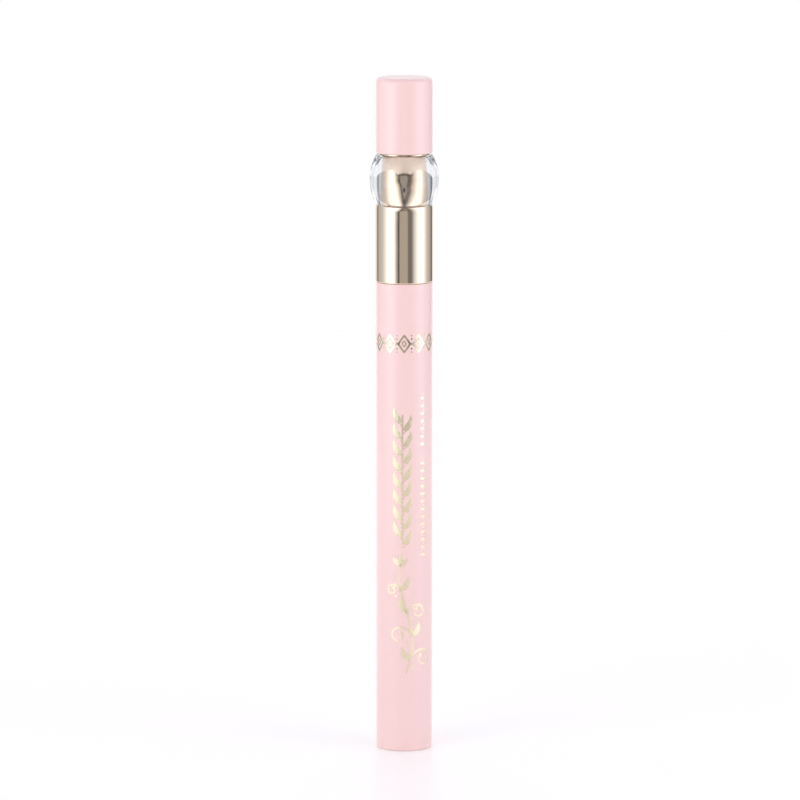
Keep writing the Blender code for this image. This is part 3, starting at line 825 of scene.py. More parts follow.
def make_core():
    """The straight gold tube inside the bead."""
    flange = CORE_LOW.z + CORE_FLANGE
    corners = [
        (CORE_RADIUS, CORE_HIGH.z, CORE_EDGE_ROUND),
        (CORE_RADIUS, flange),
        (LINER_RADIUS, flange),
        (LINER_RADIUS, CORE_LOW.z),
        (CORE_BORE, CORE_LOW.z),
        (CORE_BORE, CORE_HIGH.z),
    ]
    show_turned("gold_core", corners, "cap", "pale_gold", "bead_core", sides=FINE_SIDES)


def make_collar():
    """The thin gold ring between the bead and the cap's pink end."""
    corners = [
        (COLLAR_HIGH.x, COLLAR_HIGH.z, COLLAR_ROUND),
        (COLLAR_HIGH.x, COLLAR_LOW.z, COLLAR_ROUND),
        (CAP_HOLE, COLLAR_LOW.z),
        (CAP_HOLE, COLLAR_HIGH.z),
    ]
    show_turned("gold_collar", corners, "cap", "pale_gold", "top_collar", sides=FINE_SIDES)


def make_cap_end(sizes):
    """The cap's pink end, flat on top, with the boss that centres the spring."""
    corners = [
        (0, CAP_END_HIGH.z),
        (CAP_END_RADIUS, CAP_END_HIGH.z, sizes.crown_round),
        (CAP_END_RADIUS, CAP_END_LOW.z, CAP_END_ROUND),
        (CAP_HOLE, CAP_END_LOW.z),
        (CAP_HOLE, CAP_CEILING),
        (BOSS_RADIUS, CAP_CEILING),
        (BOSS_RADIUS, CAP_CEILING - SPRING_BOSS, BOSS_ROUND),
        (0, CAP_CEILING - SPRING_BOSS),
    ]
    show_turned("pink_cap_end", corners, "cap", "pink_plastic", "cap_end", sides=FINE_SIDES)


def make_inner_cap():
    """The thimble that seals the nozzle."""
    dome_bore = DOME_RADIUS - INNER_CAP_WALL
    roof = INNER_CAP_HIGH.z - INNER_CAP_WALL
    seal = INNER_CAP_LOW.z + INNER_CAP_SEAL
    corners = [
        (0, INNER_CAP_HIGH.z),
        (DOME_RADIUS, INNER_CAP_HIGH.z, INNER_CAP_ROUND),
        (DOME_RADIUS, FLANGE_HIGH),
        (FLANGE_RADIUS, FLANGE_HIGH, FLANGE_ROUND),
        (FLANGE_RADIUS, FLANGE_LOW, FLANGE_ROUND),
        (INNER_CAP_RADIUS, FLANGE_LOW),
        (INNER_CAP_RADIUS, INNER_CAP_LOW.z, INNER_CAP_ROUND),
        (INNER_CAP_SEAL_BORE, INNER_CAP_LOW.z),
        (INNER_CAP_SEAL_BORE, seal),
        (INNER_CAP_BORE, seal + INNER_CAP_RELIEF),
        (INNER_CAP_BORE, FLANGE_LOW),
        (dome_bore, FLANGE_LOW),
        (dome_bore, roof, INNER_CAP_ROUND),
        (0, roof),
    ]
    show_turned("sealing_thimble", corners, "inner_cap", "white_plastic", "inner_cap")


def bead_tree():
    """The clear bead: its outside is one arc, its ends are bevelled and its bore is straight."""
    numbers = ["Foot", "Length", "End Radius", "Bulge", "Edge", "Bore"]
    tree, given = geometry_tree("barrel_shaped_bead", numbers, ["Arc Points", "Sides"])
    size, bulge, edge, bore = (given[label] for label in ("Length", "Bulge", "Edge", "Bore"))
    half = size / 2.0
    radius = (half**2.0 + bulge**2.0) / (bulge * 2.0)
    centre = given["End Radius"] + bulge - radius
    spread = ((half - edge) / radius).work("ARCSINE")
    last = given["Arc Points"] - 1.0
    index = Term(node(tree, "GeometryNodeInputIndex"))
    angle = spread * (index / last * -2.0 + 1.0)
    reach = angle.work("COSINE") * radius + centre
    rise = angle.work("SINE") * radius + half
    place = node(tree, "ShaderNodeCombineXYZ", {"X": reach, "Y": rise})
    rim = given["End Radius"] - edge
    ends = [(rim, 0.0), (bore, 0.0), (bore, size), (rim, size)]
    for offset, (across, up) in enumerate(ends):
        links = {2: index, 3: last + (1.0 + offset)}
        match = node(tree, "FunctionNodeCompare", links, data_type="INT", operation="EQUAL")
        corner = node(tree, "ShaderNodeCombineXYZ", {"X": across, "Y": up})
        links = {"Switch": match, "False": place, "True": corner}
        place = node(tree, "GeometryNodeSwitch", links, input_type="VECTOR")
    line = node(tree, "GeometryNodeMeshLine", {"Count": given["Arc Points"] + float(len(ends))})
    curve = node(tree, "GeometryNodeMeshToCurve", {"Mesh": line})
    closed = node(tree, "GeometryNodeSetSplineCyclic", {"Geometry": curve, "Cyclic": True})
    drawn = node(tree, "GeometryNodeSetPosition", {"Geometry": closed, "Position": place})
    swept = lathe(tree, drawn, given["Sides"])
    end_tree(tree, moved(tree, swept, 0.0, 0.0, given["Foot"], "Offset"), given["Finish"])
    return tree


def make_bead(sizes):
    """The clear barrel-shaped bead."""
    values = {
        "Foot": BEAD_LOW.z,
        "Length": BEAD_HIGH.z - BEAD_LOW.z,
        "End Radius": BEAD_HIGH.x - sizes.bead_bulge,
        "Bulge": sizes.bead_bulge,
        "Edge": sizes.bead_edge,
        "Bore": CAP_HOLE,
        "Arc Points": BEAD_ARC_POINTS,
        "Sides": FINE_SIDES,
    }
    mesh = grow("clear_bead", bead_tree(), "clear_acrylic", values)
    show("clear_bead", mesh, "cap", "clear_acrylic", "crystal_bead")


def spring_tree():
    """A coil of wire whose first and last turns lie close, as on a spring with closed ends."""
    numbers = ["Foot", "Length", "Coil Radius", "Wire Radius", "Turns", "Closed Turns"]
    tree, given = geometry_tree("closed_end_coil", numbers, ["Points", "Wire Sides"])
    around = {"Start Radius": given["Coil Radius"], "End Radius": given["Coil Radius"], "Height": 0.0}
    links = {"Resolution": given["Points"], "Rotations": given["Turns"], **around}
    coil = node(tree, "GeometryNodeCurveSpiral", links)
    along = Term(node(tree, "GeometryNodeSplineParameter"))
    wire = given["Wire Radius"] * 2.0
    first = given["Closed Turns"] / given["Turns"]
    last = first * -1.0 + 1.0
    closed = wire * CLOSED_PITCH * given["Closed Turns"]
    spaced = given["Length"] - wire - closed - closed
    spans = ((0.0, first, closed), (first, last, spaced), (last, 1.0, closed))
    foot, middle, top = (along.ranged(start, end, 0.0, climb) for start, end, climb in spans)
    height = foot + middle + top + given["Wire Radius"] + given["Foot"]
    raised = moved(tree, coil, 0.0, 0.0, height, "Offset")
    links = {"Resolution": given["Wire Sides"], "Radius": given["Wire Radius"]}
    section = node(tree, "GeometryNodeCurvePrimitiveCircle", links)
    links = {"Curve": raised, "Profile Curve": section, "Fill Caps": True}
    end_tree(tree, node(tree, "GeometryNodeCurveToMesh", links), given["Finish"])
    return tree


def make_spring():
    """The coil from the inner cap's flange to the cap end's roof."""
    values = {
        "Foot": SPRING_LOW.z,
        "Length": SPRING_HIGH.z - SPRING_LOW.z,
        "Coil Radius": SPRING_HIGH.x - SPRING_WIRE_RADIUS,
        "Wire Radius": SPRING_WIRE_RADIUS,
        "Turns": 5.5,
        "Closed Turns": 1.0,
        "Points": 264,
        "Wire Sides": 12,
    }
    piece = stand("coil_spring", grow("coil_spring", spring_tree(), "spring_steel", values))
    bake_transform(piece)
    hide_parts("cap_spring")


def bristle_tree():
    """Bristles that fill a round bundle from its root, and lie closer and end sooner towards its point."""
    numbers = ["Root", "Nozzle End", "Tip", "Bundle Radius", "Point Radius", "Taper", "Bristle Radius"]
    tree, given = geometry_tree("bristle_bundle", numbers, ["Bristles", "Seed"])
    points = node(tree, "GeometryNodePoints", {"Count": given["Bristles"]})
    index = Term(node(tree, "GeometryNodeInputIndex"))
    kept = node(tree, "GeometryNodeCaptureAttribute", {"Geometry": points}, domain="POINT")
    kept.capture_items.new("FLOAT", "Rank")
    kept.capture_items.new("FLOAT", "Order")
    feed(kept, {1: (index + 0.5) / given["Bristles"], 2: index})
    share = Term(kept.outputs[1]).work("SQRT")
    order = Term(kept.outputs[2])
    links = {"Start": (0.0, 0.0, 0.0), "End": (0.0, 0.0, 1.0)}
    strand = node(tree, "GeometryNodeCurvePrimitiveLine", links)
    fine = node(tree, "GeometryNodeResampleCurve", {"Curve": strand, "Count": BRISTLE_POINTS})
    planted = node(tree, "GeometryNodeInstanceOnPoints", {"Points": kept, "Instance": fine})
    strands = node(tree, "GeometryNodeRealizeInstances", {"Geometry": planted})
    along = Term(node(tree, "GeometryNodeSplineParameter"))
    links = {2: 0.0, 3: 1.0, "ID": order, "Seed": given["Seed"]}
    chance = Term(node(tree, "FunctionNodeRandomValue", links, data_type="FLOAT").outputs[1])
    reach = share * chance * -BRISTLE_SPARE + 1.0
    height = along * reach * (given["Tip"] - given["Root"]) + given["Root"]
    left = height.ranged(given["Nozzle End"], given["Tip"], 1.0, 0.0)
    room = given["Bundle Radius"] - given["Point Radius"]
    wide = (left ** given["Taper"] * room + given["Point Radius"]) * share
    turn = order * GOLDEN_ANGLE
    placed = moved(tree, strands, wide * turn.work("COSINE"), wide * turn.work("SINE"), height)
    thin = along.ranged(BRISTLE_THINS, 1.0, 1.0, BRISTLE_TIP)
    links = {"Resolution": BRISTLE_SIDES, "Radius": given["Bristle Radius"]}
    section = node(tree, "GeometryNodeCurvePrimitiveCircle", links)
    links = {"Curve": placed, "Profile Curve": section, "Scale": thin, "Fill Caps": True}
    end_tree(tree, node(tree, "GeometryNodeCurveToMesh", links), given["Finish"])
    return tree


def make_brush(sizes):
    """The pointed bundle of bristles, and the disc that its root is fused into."""
    corners = [
        (0, BRUSH_LOW.z + BRUSH_ROOT),
        (BUSH_RADIUS, BRUSH_LOW.z + BRUSH_ROOT, EDGE_ROUND),
        (BUSH_RADIUS, BRUSH_LOW.z, EDGE_ROUND),
        (0, BRUSH_LOW.z),
    ]
    show_turned("brush_root", corners, "pen", "black_bristle", "brush")
    values = {
        "Root": BRUSH_LOW.z + BRUSH_ROOT / 2,
        "Nozzle End": SECTION_HIGH.z,
        "Tip": BRUSH_HIGH.z,
        "Bundle Radius": BUNDLE_RADIUS,
        "Point Radius": BRUSH_POINT,
        "Taper": 0.8,
        "Bristle Radius": BRISTLE_RADIUS,
        "Bristles": sizes.bristles,
        "Seed": 7,
    }
    mesh = grow("brush_bristles", bristle_tree(), "black_bristle", values)
    show("brush_bristles", mesh, "pen", "black_bristle", "brush")


# Foil print
FOIL_SUNK = 0.02 * MM  # into the barrel, so that no gap shows under the print
FOIL_GRID = 0.12 * MM
THREAD_END = 0.02 * MM  # half the width of a leaf or a dot where it ends
STROKE_END = 0.35  # of its width, which a tapered stroke has left at its ends
STROKE_SWELL = 0.6
LEAF_POINTS = 15
LEAF_BELLY = 0.8  # below 1, a leaf is widest nearer to its stalk
LEAF_SWELL = 0.9
DOT_POINTS = 9
CURL_POINTS = 60
CURL_THINS = 0.6  # of its width, which a tendril loses up to its end
CURL_START = 0.35  # of its mean turning where it starts, with the next added up to its end
CURL_WINDS = 1.3
CURL_DROP = 1.5  # of its width, for the dot that ends it


def foil_tree():
    """A foil print: one motif, drawn flat as threads with a width, is repeated across and up, made into
    thin solid ribbons and wrapped round the barrel."""
    name = "foil_print"
    tree = bpy.data.node_groups.get(name)
    if tree is not None:
        return tree
    numbers = ["Barrel Radius", "Thickness", "Sunk", "Level", "Step Across", "Step Up", "Grid"]
    tree, given = geometry_tree(name, numbers, ["Copies"])
    motif = node(tree, "GeometryNodeMeshToCurve", {"Mesh": given["Geometry"]})
    step = node(tree, "ShaderNodeCombineXYZ", {"X": given["Step Across"], "Y": given["Step Up"]})
    row = node(tree, "GeometryNodeMeshLine", {"Count": given["Copies"], "Offset": step})
    copies = node(tree, "GeometryNodeInstanceOnPoints", {"Points": row, "Instance": motif})
    real = node(tree, "GeometryNodeRealizeInstances", {"Geometry": copies})
    fine = node(tree, "GeometryNodeResampleCurve", {"Curve": real, "Length": given["Grid"]}, mode="LENGTH")
    flat = node(tree, "GeometryNodeSetCurveNormal", {"Curve": fine}, mode="Z_UP")
    square = node(tree, "GeometryNodeCurvePrimitiveQuadrilateral", {"Width": 2.0, "Height": 2.0})
    section = node(tree, "GeometryNodeSubdivideCurve", {"Curve": square, "Cuts": 3})
    width = node(tree, "GeometryNodeInputNamedAttribute", {"Name": "half_width"}, data_type="FLOAT")
    links = {"Curve": flat, "Profile Curve": section, "Scale": width, "Fill Caps": True}
    ribbon = node(tree, "GeometryNodeCurveToMesh", links)
    place = node(tree, "ShaderNodeSeparateXYZ", {0: node(tree, "GeometryNodeInputPosition")})
    x, y, z = map(Term, place.outputs)
    depth = given["Thickness"] + given["Sunk"]
    radius = given["Barrel Radius"] + (z.work("GREATER_THAN", 0.0) * depth - given["Sunk"])
    turn = x / given["Barrel Radius"]
    deep = radius * turn.work("COSINE") * -1.0
    wrapped = moved(tree, ribbon, radius * turn.work("SINE"), deep, y + given["Level"])
    end_tree(tree, wrapped, given["Finish"])
    return tree


def stroke(points, width, closed=False, taper=False):
    """A thread of one width, or one that thins towards both of its ends."""
    halves = [width / 2] * len(points)
    if taper:
        shares = [index / (len(points) - 1) for index in range(len(points))]
        swells = [math.sin(math.pi * share) ** STROKE_SWELL for share in shares]
        halves = [width / 2 * (STROKE_END + (1 - STROKE_END) * swell) for swell in swells]
    return [(x, y, 0.0) for x, y in points], closed, halves


def leaf(x, y, angle, size, breadth, bend=0.0):
    """A leaf from its stalk's end: its spine bends a little and its width swells and runs out."""
    points, halves = [], []
    for index in range(LEAF_POINTS):
        share = index / (LEAF_POINTS - 1)
        heading = angle + bend * (share - 0.5)
        points.append((x + size * share * math.cos(heading), y + size * share * math.sin(heading), 0.0))
        swell = math.sin(math.pi * share**LEAF_BELLY) ** LEAF_SWELL
        halves.append(max(breadth / 2 * swell, THREAD_END))
    return points, False, halves


def dot(x, y, size):
    """A round dot, drawn as a short thread with a round width."""
    points, halves = [], []
    for index in range(DOT_POINTS):
        share = -math.cos(math.pi * index / (DOT_POINTS - 1))
        points.append((x + size / 2 * share, y, 0.0))
        halves.append(max(size / 2 * math.sqrt(max(1 - share * share, 0)), THREAD_END))
    return points, False, halves


def curl(x, y, start, turns, size, width, hand):
    """A tendril: a spiral that winds inwards from its start, thinning as it goes, with a dot at its end."""
    points, halves = [], []
    heading = start
    for index in range(CURL_POINTS):
        share = index / (CURL_POINTS - 1)
        points.append((x, y, 0.0))
        halves.append(width / 2 * (1 - CURL_THINS * share))
        pace = size / CURL_POINTS
        x += pace * math.cos(heading)
        y += pace * math.sin(heading)
        heading += hand * math.tau * turns / CURL_POINTS * (CURL_START + CURL_WINDS * share)
    return [(points, False, halves), dot(*points[-1][:2], width * CURL_DROP)]


def print_foil(name, chains, sizes, level, copies=1, across=0.0, up=0.0):
    """Stamps a motif onto the barrel."""
    values = {
        "Barrel Radius": BARREL_RADIUS,
        "Thickness": sizes.foil_thickness,
        "Sunk": FOIL_SUNK,
        "Level": level,
        "Copies": copies,
        "Step Across": across,
        "Step Up": up,
        "Grid": FOIL_GRID,
    }
    mesh = grow(name, foil_tree(), "gold_foil", values, threads(f"{name}_threads", chains))
    show(name, mesh, "pen", "pale_gold")


def dense(corners, steps=8):
    """The points of a closed line through the corners, near enough together to follow the barrel."""
    points = []
    for (x, y), (next_x, next_y) in zip(corners, corners[1:] + corners[:1]):
        for step in range(steps):
            share = step / steps
            points.append((x + (next_x - x) * share, y + (next_y - y) * share))
    return points


def make_foil_band(sizes):
    """A band of chained lozenges round the barrel, below the ferrule, with dots between them."""
    count = 12
    pitch = math.tau * BARREL_RADIUS / count
    tall, wide, nested = 3.4 * MM, pitch * 0.8, 0.36
    line, fine_line = 0.4 * MM, 0.26 * MM
    corners = [(0, tall / 2), (wide / 2, 0), (0, -tall / 2), (-wide / 2, 0)]
    inner = [(x * nested, y * nested) for x, y in corners]
    chains = [stroke(dense(corners), line, closed=True), stroke(dense(inner), fine_line, closed=True)]
    # Each dot: its height from the band's middle and its width, in millimetres
    for height, size in ((0, 0.5), (0.98, 0.42), (-0.98, 0.42), (1.66, 0.3), (-1.66, 0.3)):
        chains.append(dot(pitch / 2, height * MM, size * MM))
    print_foil("foil_band", chains, sizes, sizes.band_level, count, across=pitch)


def make_foil_vine(sizes):
    """A laurel branch up the barrel, with leaves and berries in turn on both sides of its stem, and two runs
    of flat beads and dots beside it."""
    repeats, pitch = 8, 3.3 * MM
    middle, stem_width = -0.35 * MM, 0.36 * MM
    stalk, stalk_width = 0.85 * MM, 0.2 * MM
    long, broad, lean, bend = 3.5 * MM, 1.15 * MM, 0.84, 0.7
    berry, berry_out, berry_up = 0.55 * MM, 1.05 * MM, 0.1 * MM
    chains = [stroke([(middle, pitch * step / 6) for step in range(7)], stem_width)]
    # A leaf to the right from low on the stem, and one to the left from above its half
    for side, foot in ((1, 0.05 * pitch), (-1, 0.55 * pitch)):
        chains.append(leaf(middle, foot, math.pi / 2 - side * lean, long, broad, side * bend))
        points = [(middle + side * stalk * step / 4, foot - stalk * (1 - step / 4)) for step in range(5)]
        chains.append(stroke(points, stalk_width))
        chains.append(dot(middle + side * berry_out, foot + berry_up, berry))
    print_foil("foil_vine", chains, sizes, sizes.vine_level, repeats, up=pitch)
    beside, pitch, below, above = 4.2 * MM, 1.55 * MM, 2.2 * MM, 20.3 * MM
    long, broad, spot = 1.5 * MM, 0.6 * MM, 0.36 * MM
    low_beads, high_beads = 13, 7
    beads = [leaf(beside - long / 2, 0, 0, long, broad), dot(beside, pitch / 2, spot)]
    print_foil("foil_beads_low", beads, sizes, sizes.vine_level - below, low_beads, up=pitch)
    print_foil("foil_beads_high", beads, sizes, sizes.vine_level + above, high_beads, up=pitch)


def make_foil_sprig(sizes):
    """A sprig with tendrils and leaves, near the barrel's foot."""
    rise, count = 22.5 * MM, 60
    middle, sway, half_waves = 0.3 * MM, 1.3 * MM, 1.7
    stem_width, curl_width, berry, beside = 0.56 * MM, 0.5 * MM, 0.5 * MM, 1.0 * MM
    long, broad, lift = 3.1 * MM, 1.25 * MM, 0.3 * MM
    tip_broad, tip_drop = 1.0 * MM, 0.5 * MM
    upright, curl_lean, lean, bend = math.pi / 2, 0.35, 0.8, 0.6
    shares = [index / count for index in range(count + 1)]
    stem = [(middle + sway * math.sin(math.pi * half_waves * share), rise * share) for share in shares]
    chains = [stroke(stem, stem_width, taper=True)]
    # Each tendril: how far up the stem, its side, its length in millimetres and how often it turns
    curls = ((0.12, 1, 11.5, 1.12), (0.33, -1, 10.5, 1.15), (0.55, 1, 9.0, 1.15), (0.75, -1, 7.0, 1.15))
    for share, hand, size, turns in curls:
        x, y = stem[round(share * count)]
        chains += curl(x, y, upright - hand * curl_lean, turns, size * MM, curl_width, -hand)
        chains.append(leaf(x, y + lift, upright + hand * lean, long, broad, -hand * bend))
        chains.append(dot(x + hand * beside, y - beside, berry))
    x, y = stem[-1]
    # The leaves at the tip: the way each turns, in radians, and its length in millimetres
    for turn, size in ((0.0, 2.8), (0.75, 2.3), (-0.75, 2.3)):
        chains.append(leaf(x, y - tip_drop, upright + turn, size * MM, tip_broad))
    print_foil("foil_sprig", chains, sizes, sizes.sprig_level)


# Studio
BEAD_BOUNCES = 32  # light goes round inside the clear bead many times before it gets out
TABLE_DROP = 0.02 * MM
TABLE_GRIT = 0.5 * MM
TABLE_GLOW = 0.2
TABLE_GLOSS_GLOW = 0.34  # near the softboxes, where gold and acrylic see it, the table is brighter
# Right-hand corners of the board: it reaches further forwards between the softboxes, which hide its sides
TABLE = ((0.36, 0.62), (0.36, 0.0), (0.26, -0.26), (0.24, -0.43))

# What the pen sees round it: the direction in degrees, 0 towards the camera and + to its right, and how
# bright it is there, where 1 is the white backdrop. Two softboxes stand on the camera's two sides.
BRIGHTEST = 3.87
MIRRORED_BRIGHTEST = 2.2  # what gold, lacquer and acrylic see of the softboxes
ROOM = (
    (-180, 1.0), (-147, 1.0), (-142, 0.75), (-136, 0.3), (-129, 0.3), (-122, 0.62),
    (-101, 0.74), (-90, 0.95), (-81, 1.25), (-74, 1.6), (-66, 2.0), (-58, BRIGHTEST),
    (74, BRIGHTEST), (80, 1.9), (89, 1.3), (100, 0.85), (113, 0.64), (124, 0.5),
    (134, 0.3), (139, 0.14), (146, 0.14), (149, 1.0), (180, 1.0),
)
# The gap between them, which closes upwards because they lean together: first with what stands in it, then
# above that, where it is dark
GAP = (
    (-180, BRIGHTEST), (-56, BRIGHTEST), (-47, 1.9), (-38, 1.3), (-32, 0.62), (-28, 0.5),
    (-25, 0.13), (-20, 0.13), (-18, 0.5), (12, 0.5), (16, 0.24), (25, 0.21), (32, 0.33),
    (36, 0.62), (42, 0.95), (50, 1.25), (59, 1.75), (66, 2.1), (76, BRIGHTEST), (180, BRIGHTEST),
)
GAP_ABOVE = (
    (-180, BRIGHTEST), (-56, BRIGHTEST), (-47, 1.9), (-38, 1.3), (-33, 0.5), (-26, 0.1), (22, 0.1),
    (34, 0.28), (40, 0.75), (50, 1.25), (59, 1.75), (66, 2.1), (76, BRIGHTEST), (180, BRIGHTEST),
)
# Heights here are those of a direction, from -1 straight down to 1 straight up
GAP_DARK_FROM = 0.2  # where what stands in the gap ends
GAP_DARK_FULL = 0.3
GAP_RIM_FROM = -0.205  # where the gap's dark foot starts, beyond the table's edge
GAP_RIM_FULL = -0.22
GAP_RIM_LEVEL = 0.4
GAP_RIM_WIDTH = math.radians(38)
GAP_STEP_FROM = -0.115  # between these two, the boxes come in by their steps
GAP_STEP_FULL = -0.05
GAP_LEFT_STEP = math.radians(8)
GAP_LEFT_LEAN = math.radians(36)  # how far the left box leans in for each unit of height, from the next on
GAP_LEFT_FROM = -0.05
GAP_RIGHT_STEP = math.radians(4)
GAP_RIGHT_LEAN = math.radians(70)
GAP_RIGHT_FROM = 0.08
BACKDROP_FROM = math.radians(147)  # from here on, on both sides, the white backdrop is behind the pen
BACKDROP_TOP = 0.3
BOX_TOP = 0.42  # the softboxes fade out above and below these two
BOX_FOOT = -0.3
BOX_FADE = 0.12
BOX_REST = 0.24
SIDE_FILL = 1.2  # a strip light high up on each side
SIDE_FROM = math.radians(75)
SIDE_FULL = math.radians(100)
SIDE_FOOT = 0.42
COOL = "EAF5FF"  # a mirror sees the softboxes' light as cooler than what stands in the gap
COOL_GAIN = 1.07
COOL_FROM = math.radians(10)
COOL_FULL = math.radians(32)
COOL_LAST = math.radians(112)
COOL_END = math.radians(145)
CEILING = "ACA6C4"
CEILING_FROM = 0.55
CEILING_FULL = 0.85
LENS_WAY = math.radians(2.4)  # the dark lens, which the gold mirrors
LENS_WIDTH = math.radians(4.5)
LENS_HEIGHT = math.radians(3.0)
LENS_DARK = 0.8  # the square of the distance from its middle, up to which it is dark
LENS_CLEAR = 1.4


def seen_by_rays(tree):
    """1 for rays of the camera, of a gloss and of a clear body, which all see the pale studio as white."""
    rays = node(tree, "ShaderNodeLightPath").outputs
    bent = Term(rays["Is Glossy Ray"]).work("MAXIMUM", rays["Is Transmission Ray"])
    return bent.work("MAXIMUM", rays["Is Camera Ray"])


def white_table():
    """A melamine board, satin: nearly white, with a soft gloss. A little light of its own lifts it to the
    white of the backdrop, and leaves the pen's shadow."""
    made = Finish("white_table", linear("F8F8F4"))
    made.gloss(made.grain(TABLE_GRIT), 0.3, 0.36)
    feed(made.shader, {"Base Color": made.colour})
    camera = Term(node(made.tree, "ShaderNodeLightPath").outputs["Is Camera Ray"])
    strength = camera * (TABLE_GLOW - TABLE_GLOSS_GLOW) + seen_by_rays(made.tree) * TABLE_GLOSS_GLOW
    glow = node(made.tree, "ShaderNodeEmission", {"Color": linear("FFFFFF"), "Strength": strength})
    feed(made.output, {"Surface": node(made.tree, "ShaderNodeAddShader", {0: made.shader, 1: glow})})
    return made.material


def make_table():
    """The pale board that the pen stands on."""
    form = bmesh.new()
    corners = [*TABLE, *((-x, y) for x, y in reversed(TABLE))]
    form.faces.new([form.verts.new((x, y, -TABLE_DROP)) for x, y in corners])
    bmesh.ops.triangulate(form, faces=form.faces)
    mesh = mesh_of("table", form)
    mesh.materials.append(white_table())
    table = stand("table", mesh)


def levels_round(turn, levels):
    """How bright it is at an angle round the pen, as a share of the brightest."""
    ramp = node(turn.tree, "ShaderNodeValToRGB", {"Fac": turn * (1 / math.tau) + 0.5})
    stops = ramp.color_ramp.elements
    while len(stops) < len(levels):
        stops.new(0.5)
    for stop, (degrees, level) in zip(stops, levels):
        stop.position = degrees / 360 + 0.5
        stop.color = (*[level / BRIGHTEST] * 3, 1.0)
    return Term(node(turn.tree, "ShaderNodeSeparateColor", {0: ramp}))


def softboxes(turn, up):
    """How bright the two softboxes and the gap between them are, at an angle round the pen and a height."""
    leaned = up.soft_step(GAP_STEP_FROM, GAP_STEP_FULL)
    left = leaned * GAP_LEFT_STEP + (up - GAP_LEFT_FROM).work("MAXIMUM", 0.0) * GAP_LEFT_LEAN
    right = leaned * GAP_RIGHT_STEP + (up - GAP_RIGHT_FROM).work("MAXIMUM", 0.0) * GAP_RIGHT_LEAN
    across = turn + ((left + right) * turn.work("GREATER_THAN", 0.0) - left)
    above = up.soft_step(GAP_DARK_FROM, GAP_DARK_FULL)
    links = {"Factor": above, "A": levels_round(across, GAP), "B": levels_round(across, GAP_ABOVE)}
    gap = Term(node(turn.tree, "ShaderNodeMix", links, data_type="FLOAT"))
    inside = turn.work("ABSOLUTE").work("LESS_THAN", GAP_RIM_WIDTH)
    rim = up.soft_step(GAP_RIM_FROM, GAP_RIM_FULL) * inside
    return levels_round(turn, ROOM).work("MINIMUM", gap * rim.turned_to(GAP_RIM_LEVEL)) * BRIGHTEST


def make_room(studio):
    """The world: white to the camera, and to the pen a room with a backdrop, dark gaps and a ceiling."""
    world = bpy.data.worlds.new("studio_room")
    bpy.context.scene.world = world
    world.use_nodes = True
    tree = world.node_tree
    tree.nodes.clear()
    way = node(tree, "ShaderNodeTexCoord").outputs["Generated"]
    x, y, up = map(Term, node(tree, "ShaderNodeSeparateXYZ", {0: way}).outputs)
    turn = x.work("ARCTAN2", y * -1.0)
    spread = turn.work("ABSOLUTE")
    seen = seen_by_rays(tree)
    limit = seen * (MIRRORED_BRIGHTEST - BRIGHTEST) + BRIGHTEST
    around = softboxes(turn, up).work("MINIMUM", limit)
    around = around * up.soft_step(BOX_TOP, BOX_TOP + BOX_FADE).turned_to(BOX_REST)
    around = around * up.soft_step(BOX_FOOT, BOX_FOOT - BOX_FADE).turned_to(BOX_REST)
    high = up.soft_step(SIDE_FOOT, SIDE_FOOT + BOX_FADE)
    around = around + spread.soft_step(SIDE_FROM, SIDE_FULL) * high * SIDE_FILL
    rays = node(tree, "ShaderNodeLightPath").outputs
    mirrored = Term(rays["Is Glossy Ray"]).work("GREATER_THAN", rays["Is Transmission Ray"])
    cool = spread.soft_step(COOL_FROM, COOL_FULL) * spread.soft_step(COOL_END, COOL_LAST) * mirrored
    links = {"Factor": cool, 6: around * cool.turned_to(COOL_GAIN), 7: linear(COOL)}
    cooled = node(tree, "ShaderNodeMix", links, data_type="RGBA", blend_type="MULTIPLY").outputs[2]
    links = {"Factor": up.soft_step(CEILING_FROM, CEILING_FULL), 6: cooled, 7: linear(CEILING)}
    upper = node(tree, "ShaderNodeMix", links, data_type="RGBA").outputs[2]
    aloft = (up - math.sin(LENS_WAY)) / LENS_HEIGHT
    lens = ((turn / LENS_WIDTH) ** 2.0 + aloft**2.0).soft_step(LENS_DARK, LENS_CLEAR)
    room = node(tree, "ShaderNodeBackground", {"Color": upper, "Strength": lens * studio.light})
    white = node(tree, "ShaderNodeBackground", {"Color": linear("FFFFFF"), "Strength": 1.0})
    low = up.soft_step(BACKDROP_TOP + BOX_FADE, BACKDROP_TOP)
    behind = spread.work("GREATER_THAN", BACKDROP_FROM) * low
    backdrop = (behind * seen).work("MAXIMUM", rays["Is Camera Ray"])
    both = node(tree, "ShaderNodeMixShader", {0: backdrop, 1: room, 2: white})
    node(tree, "ShaderNodeOutputWorld", {"Surface": both})


def make_camera(studio):
    """The camera: well back with a long lens, a little above the pen."""
    camera = bpy.data.cameras.new("camera")
    camera.sensor_width = 36
    camera.lens = studio.focal_length
    camera.clip_end = 10
    holder = stand("camera", camera)
    holder.location = (-studio.camera_side, -studio.camera_distance, studio.camera_height)
    holder.rotation_euler = (math.pi / 2 - studio.camera_tilt, 0, 0)
    bpy.context.scene.camera = holder


class EYELINER_OT_studio(bpy.types.Operator):
    """Makes the camera, the table and the room with its softboxes"""

    bl_idname = "eyeliner.studio"
    bl_label = "Studio"

    def execute(self, context):
        studio = context.scene.eyeliner_studio
        make_camera(studio)
        make_table()
        make_room(studio)
        context.scene.view_settings.view_transform = "Standard"
        for name in ("max_bounces", "glossy_bounces", "transmission_bounces"):
            setattr(context.scene.cycles, name, BEAD_BOUNCES)
        return {"FINISHED"}


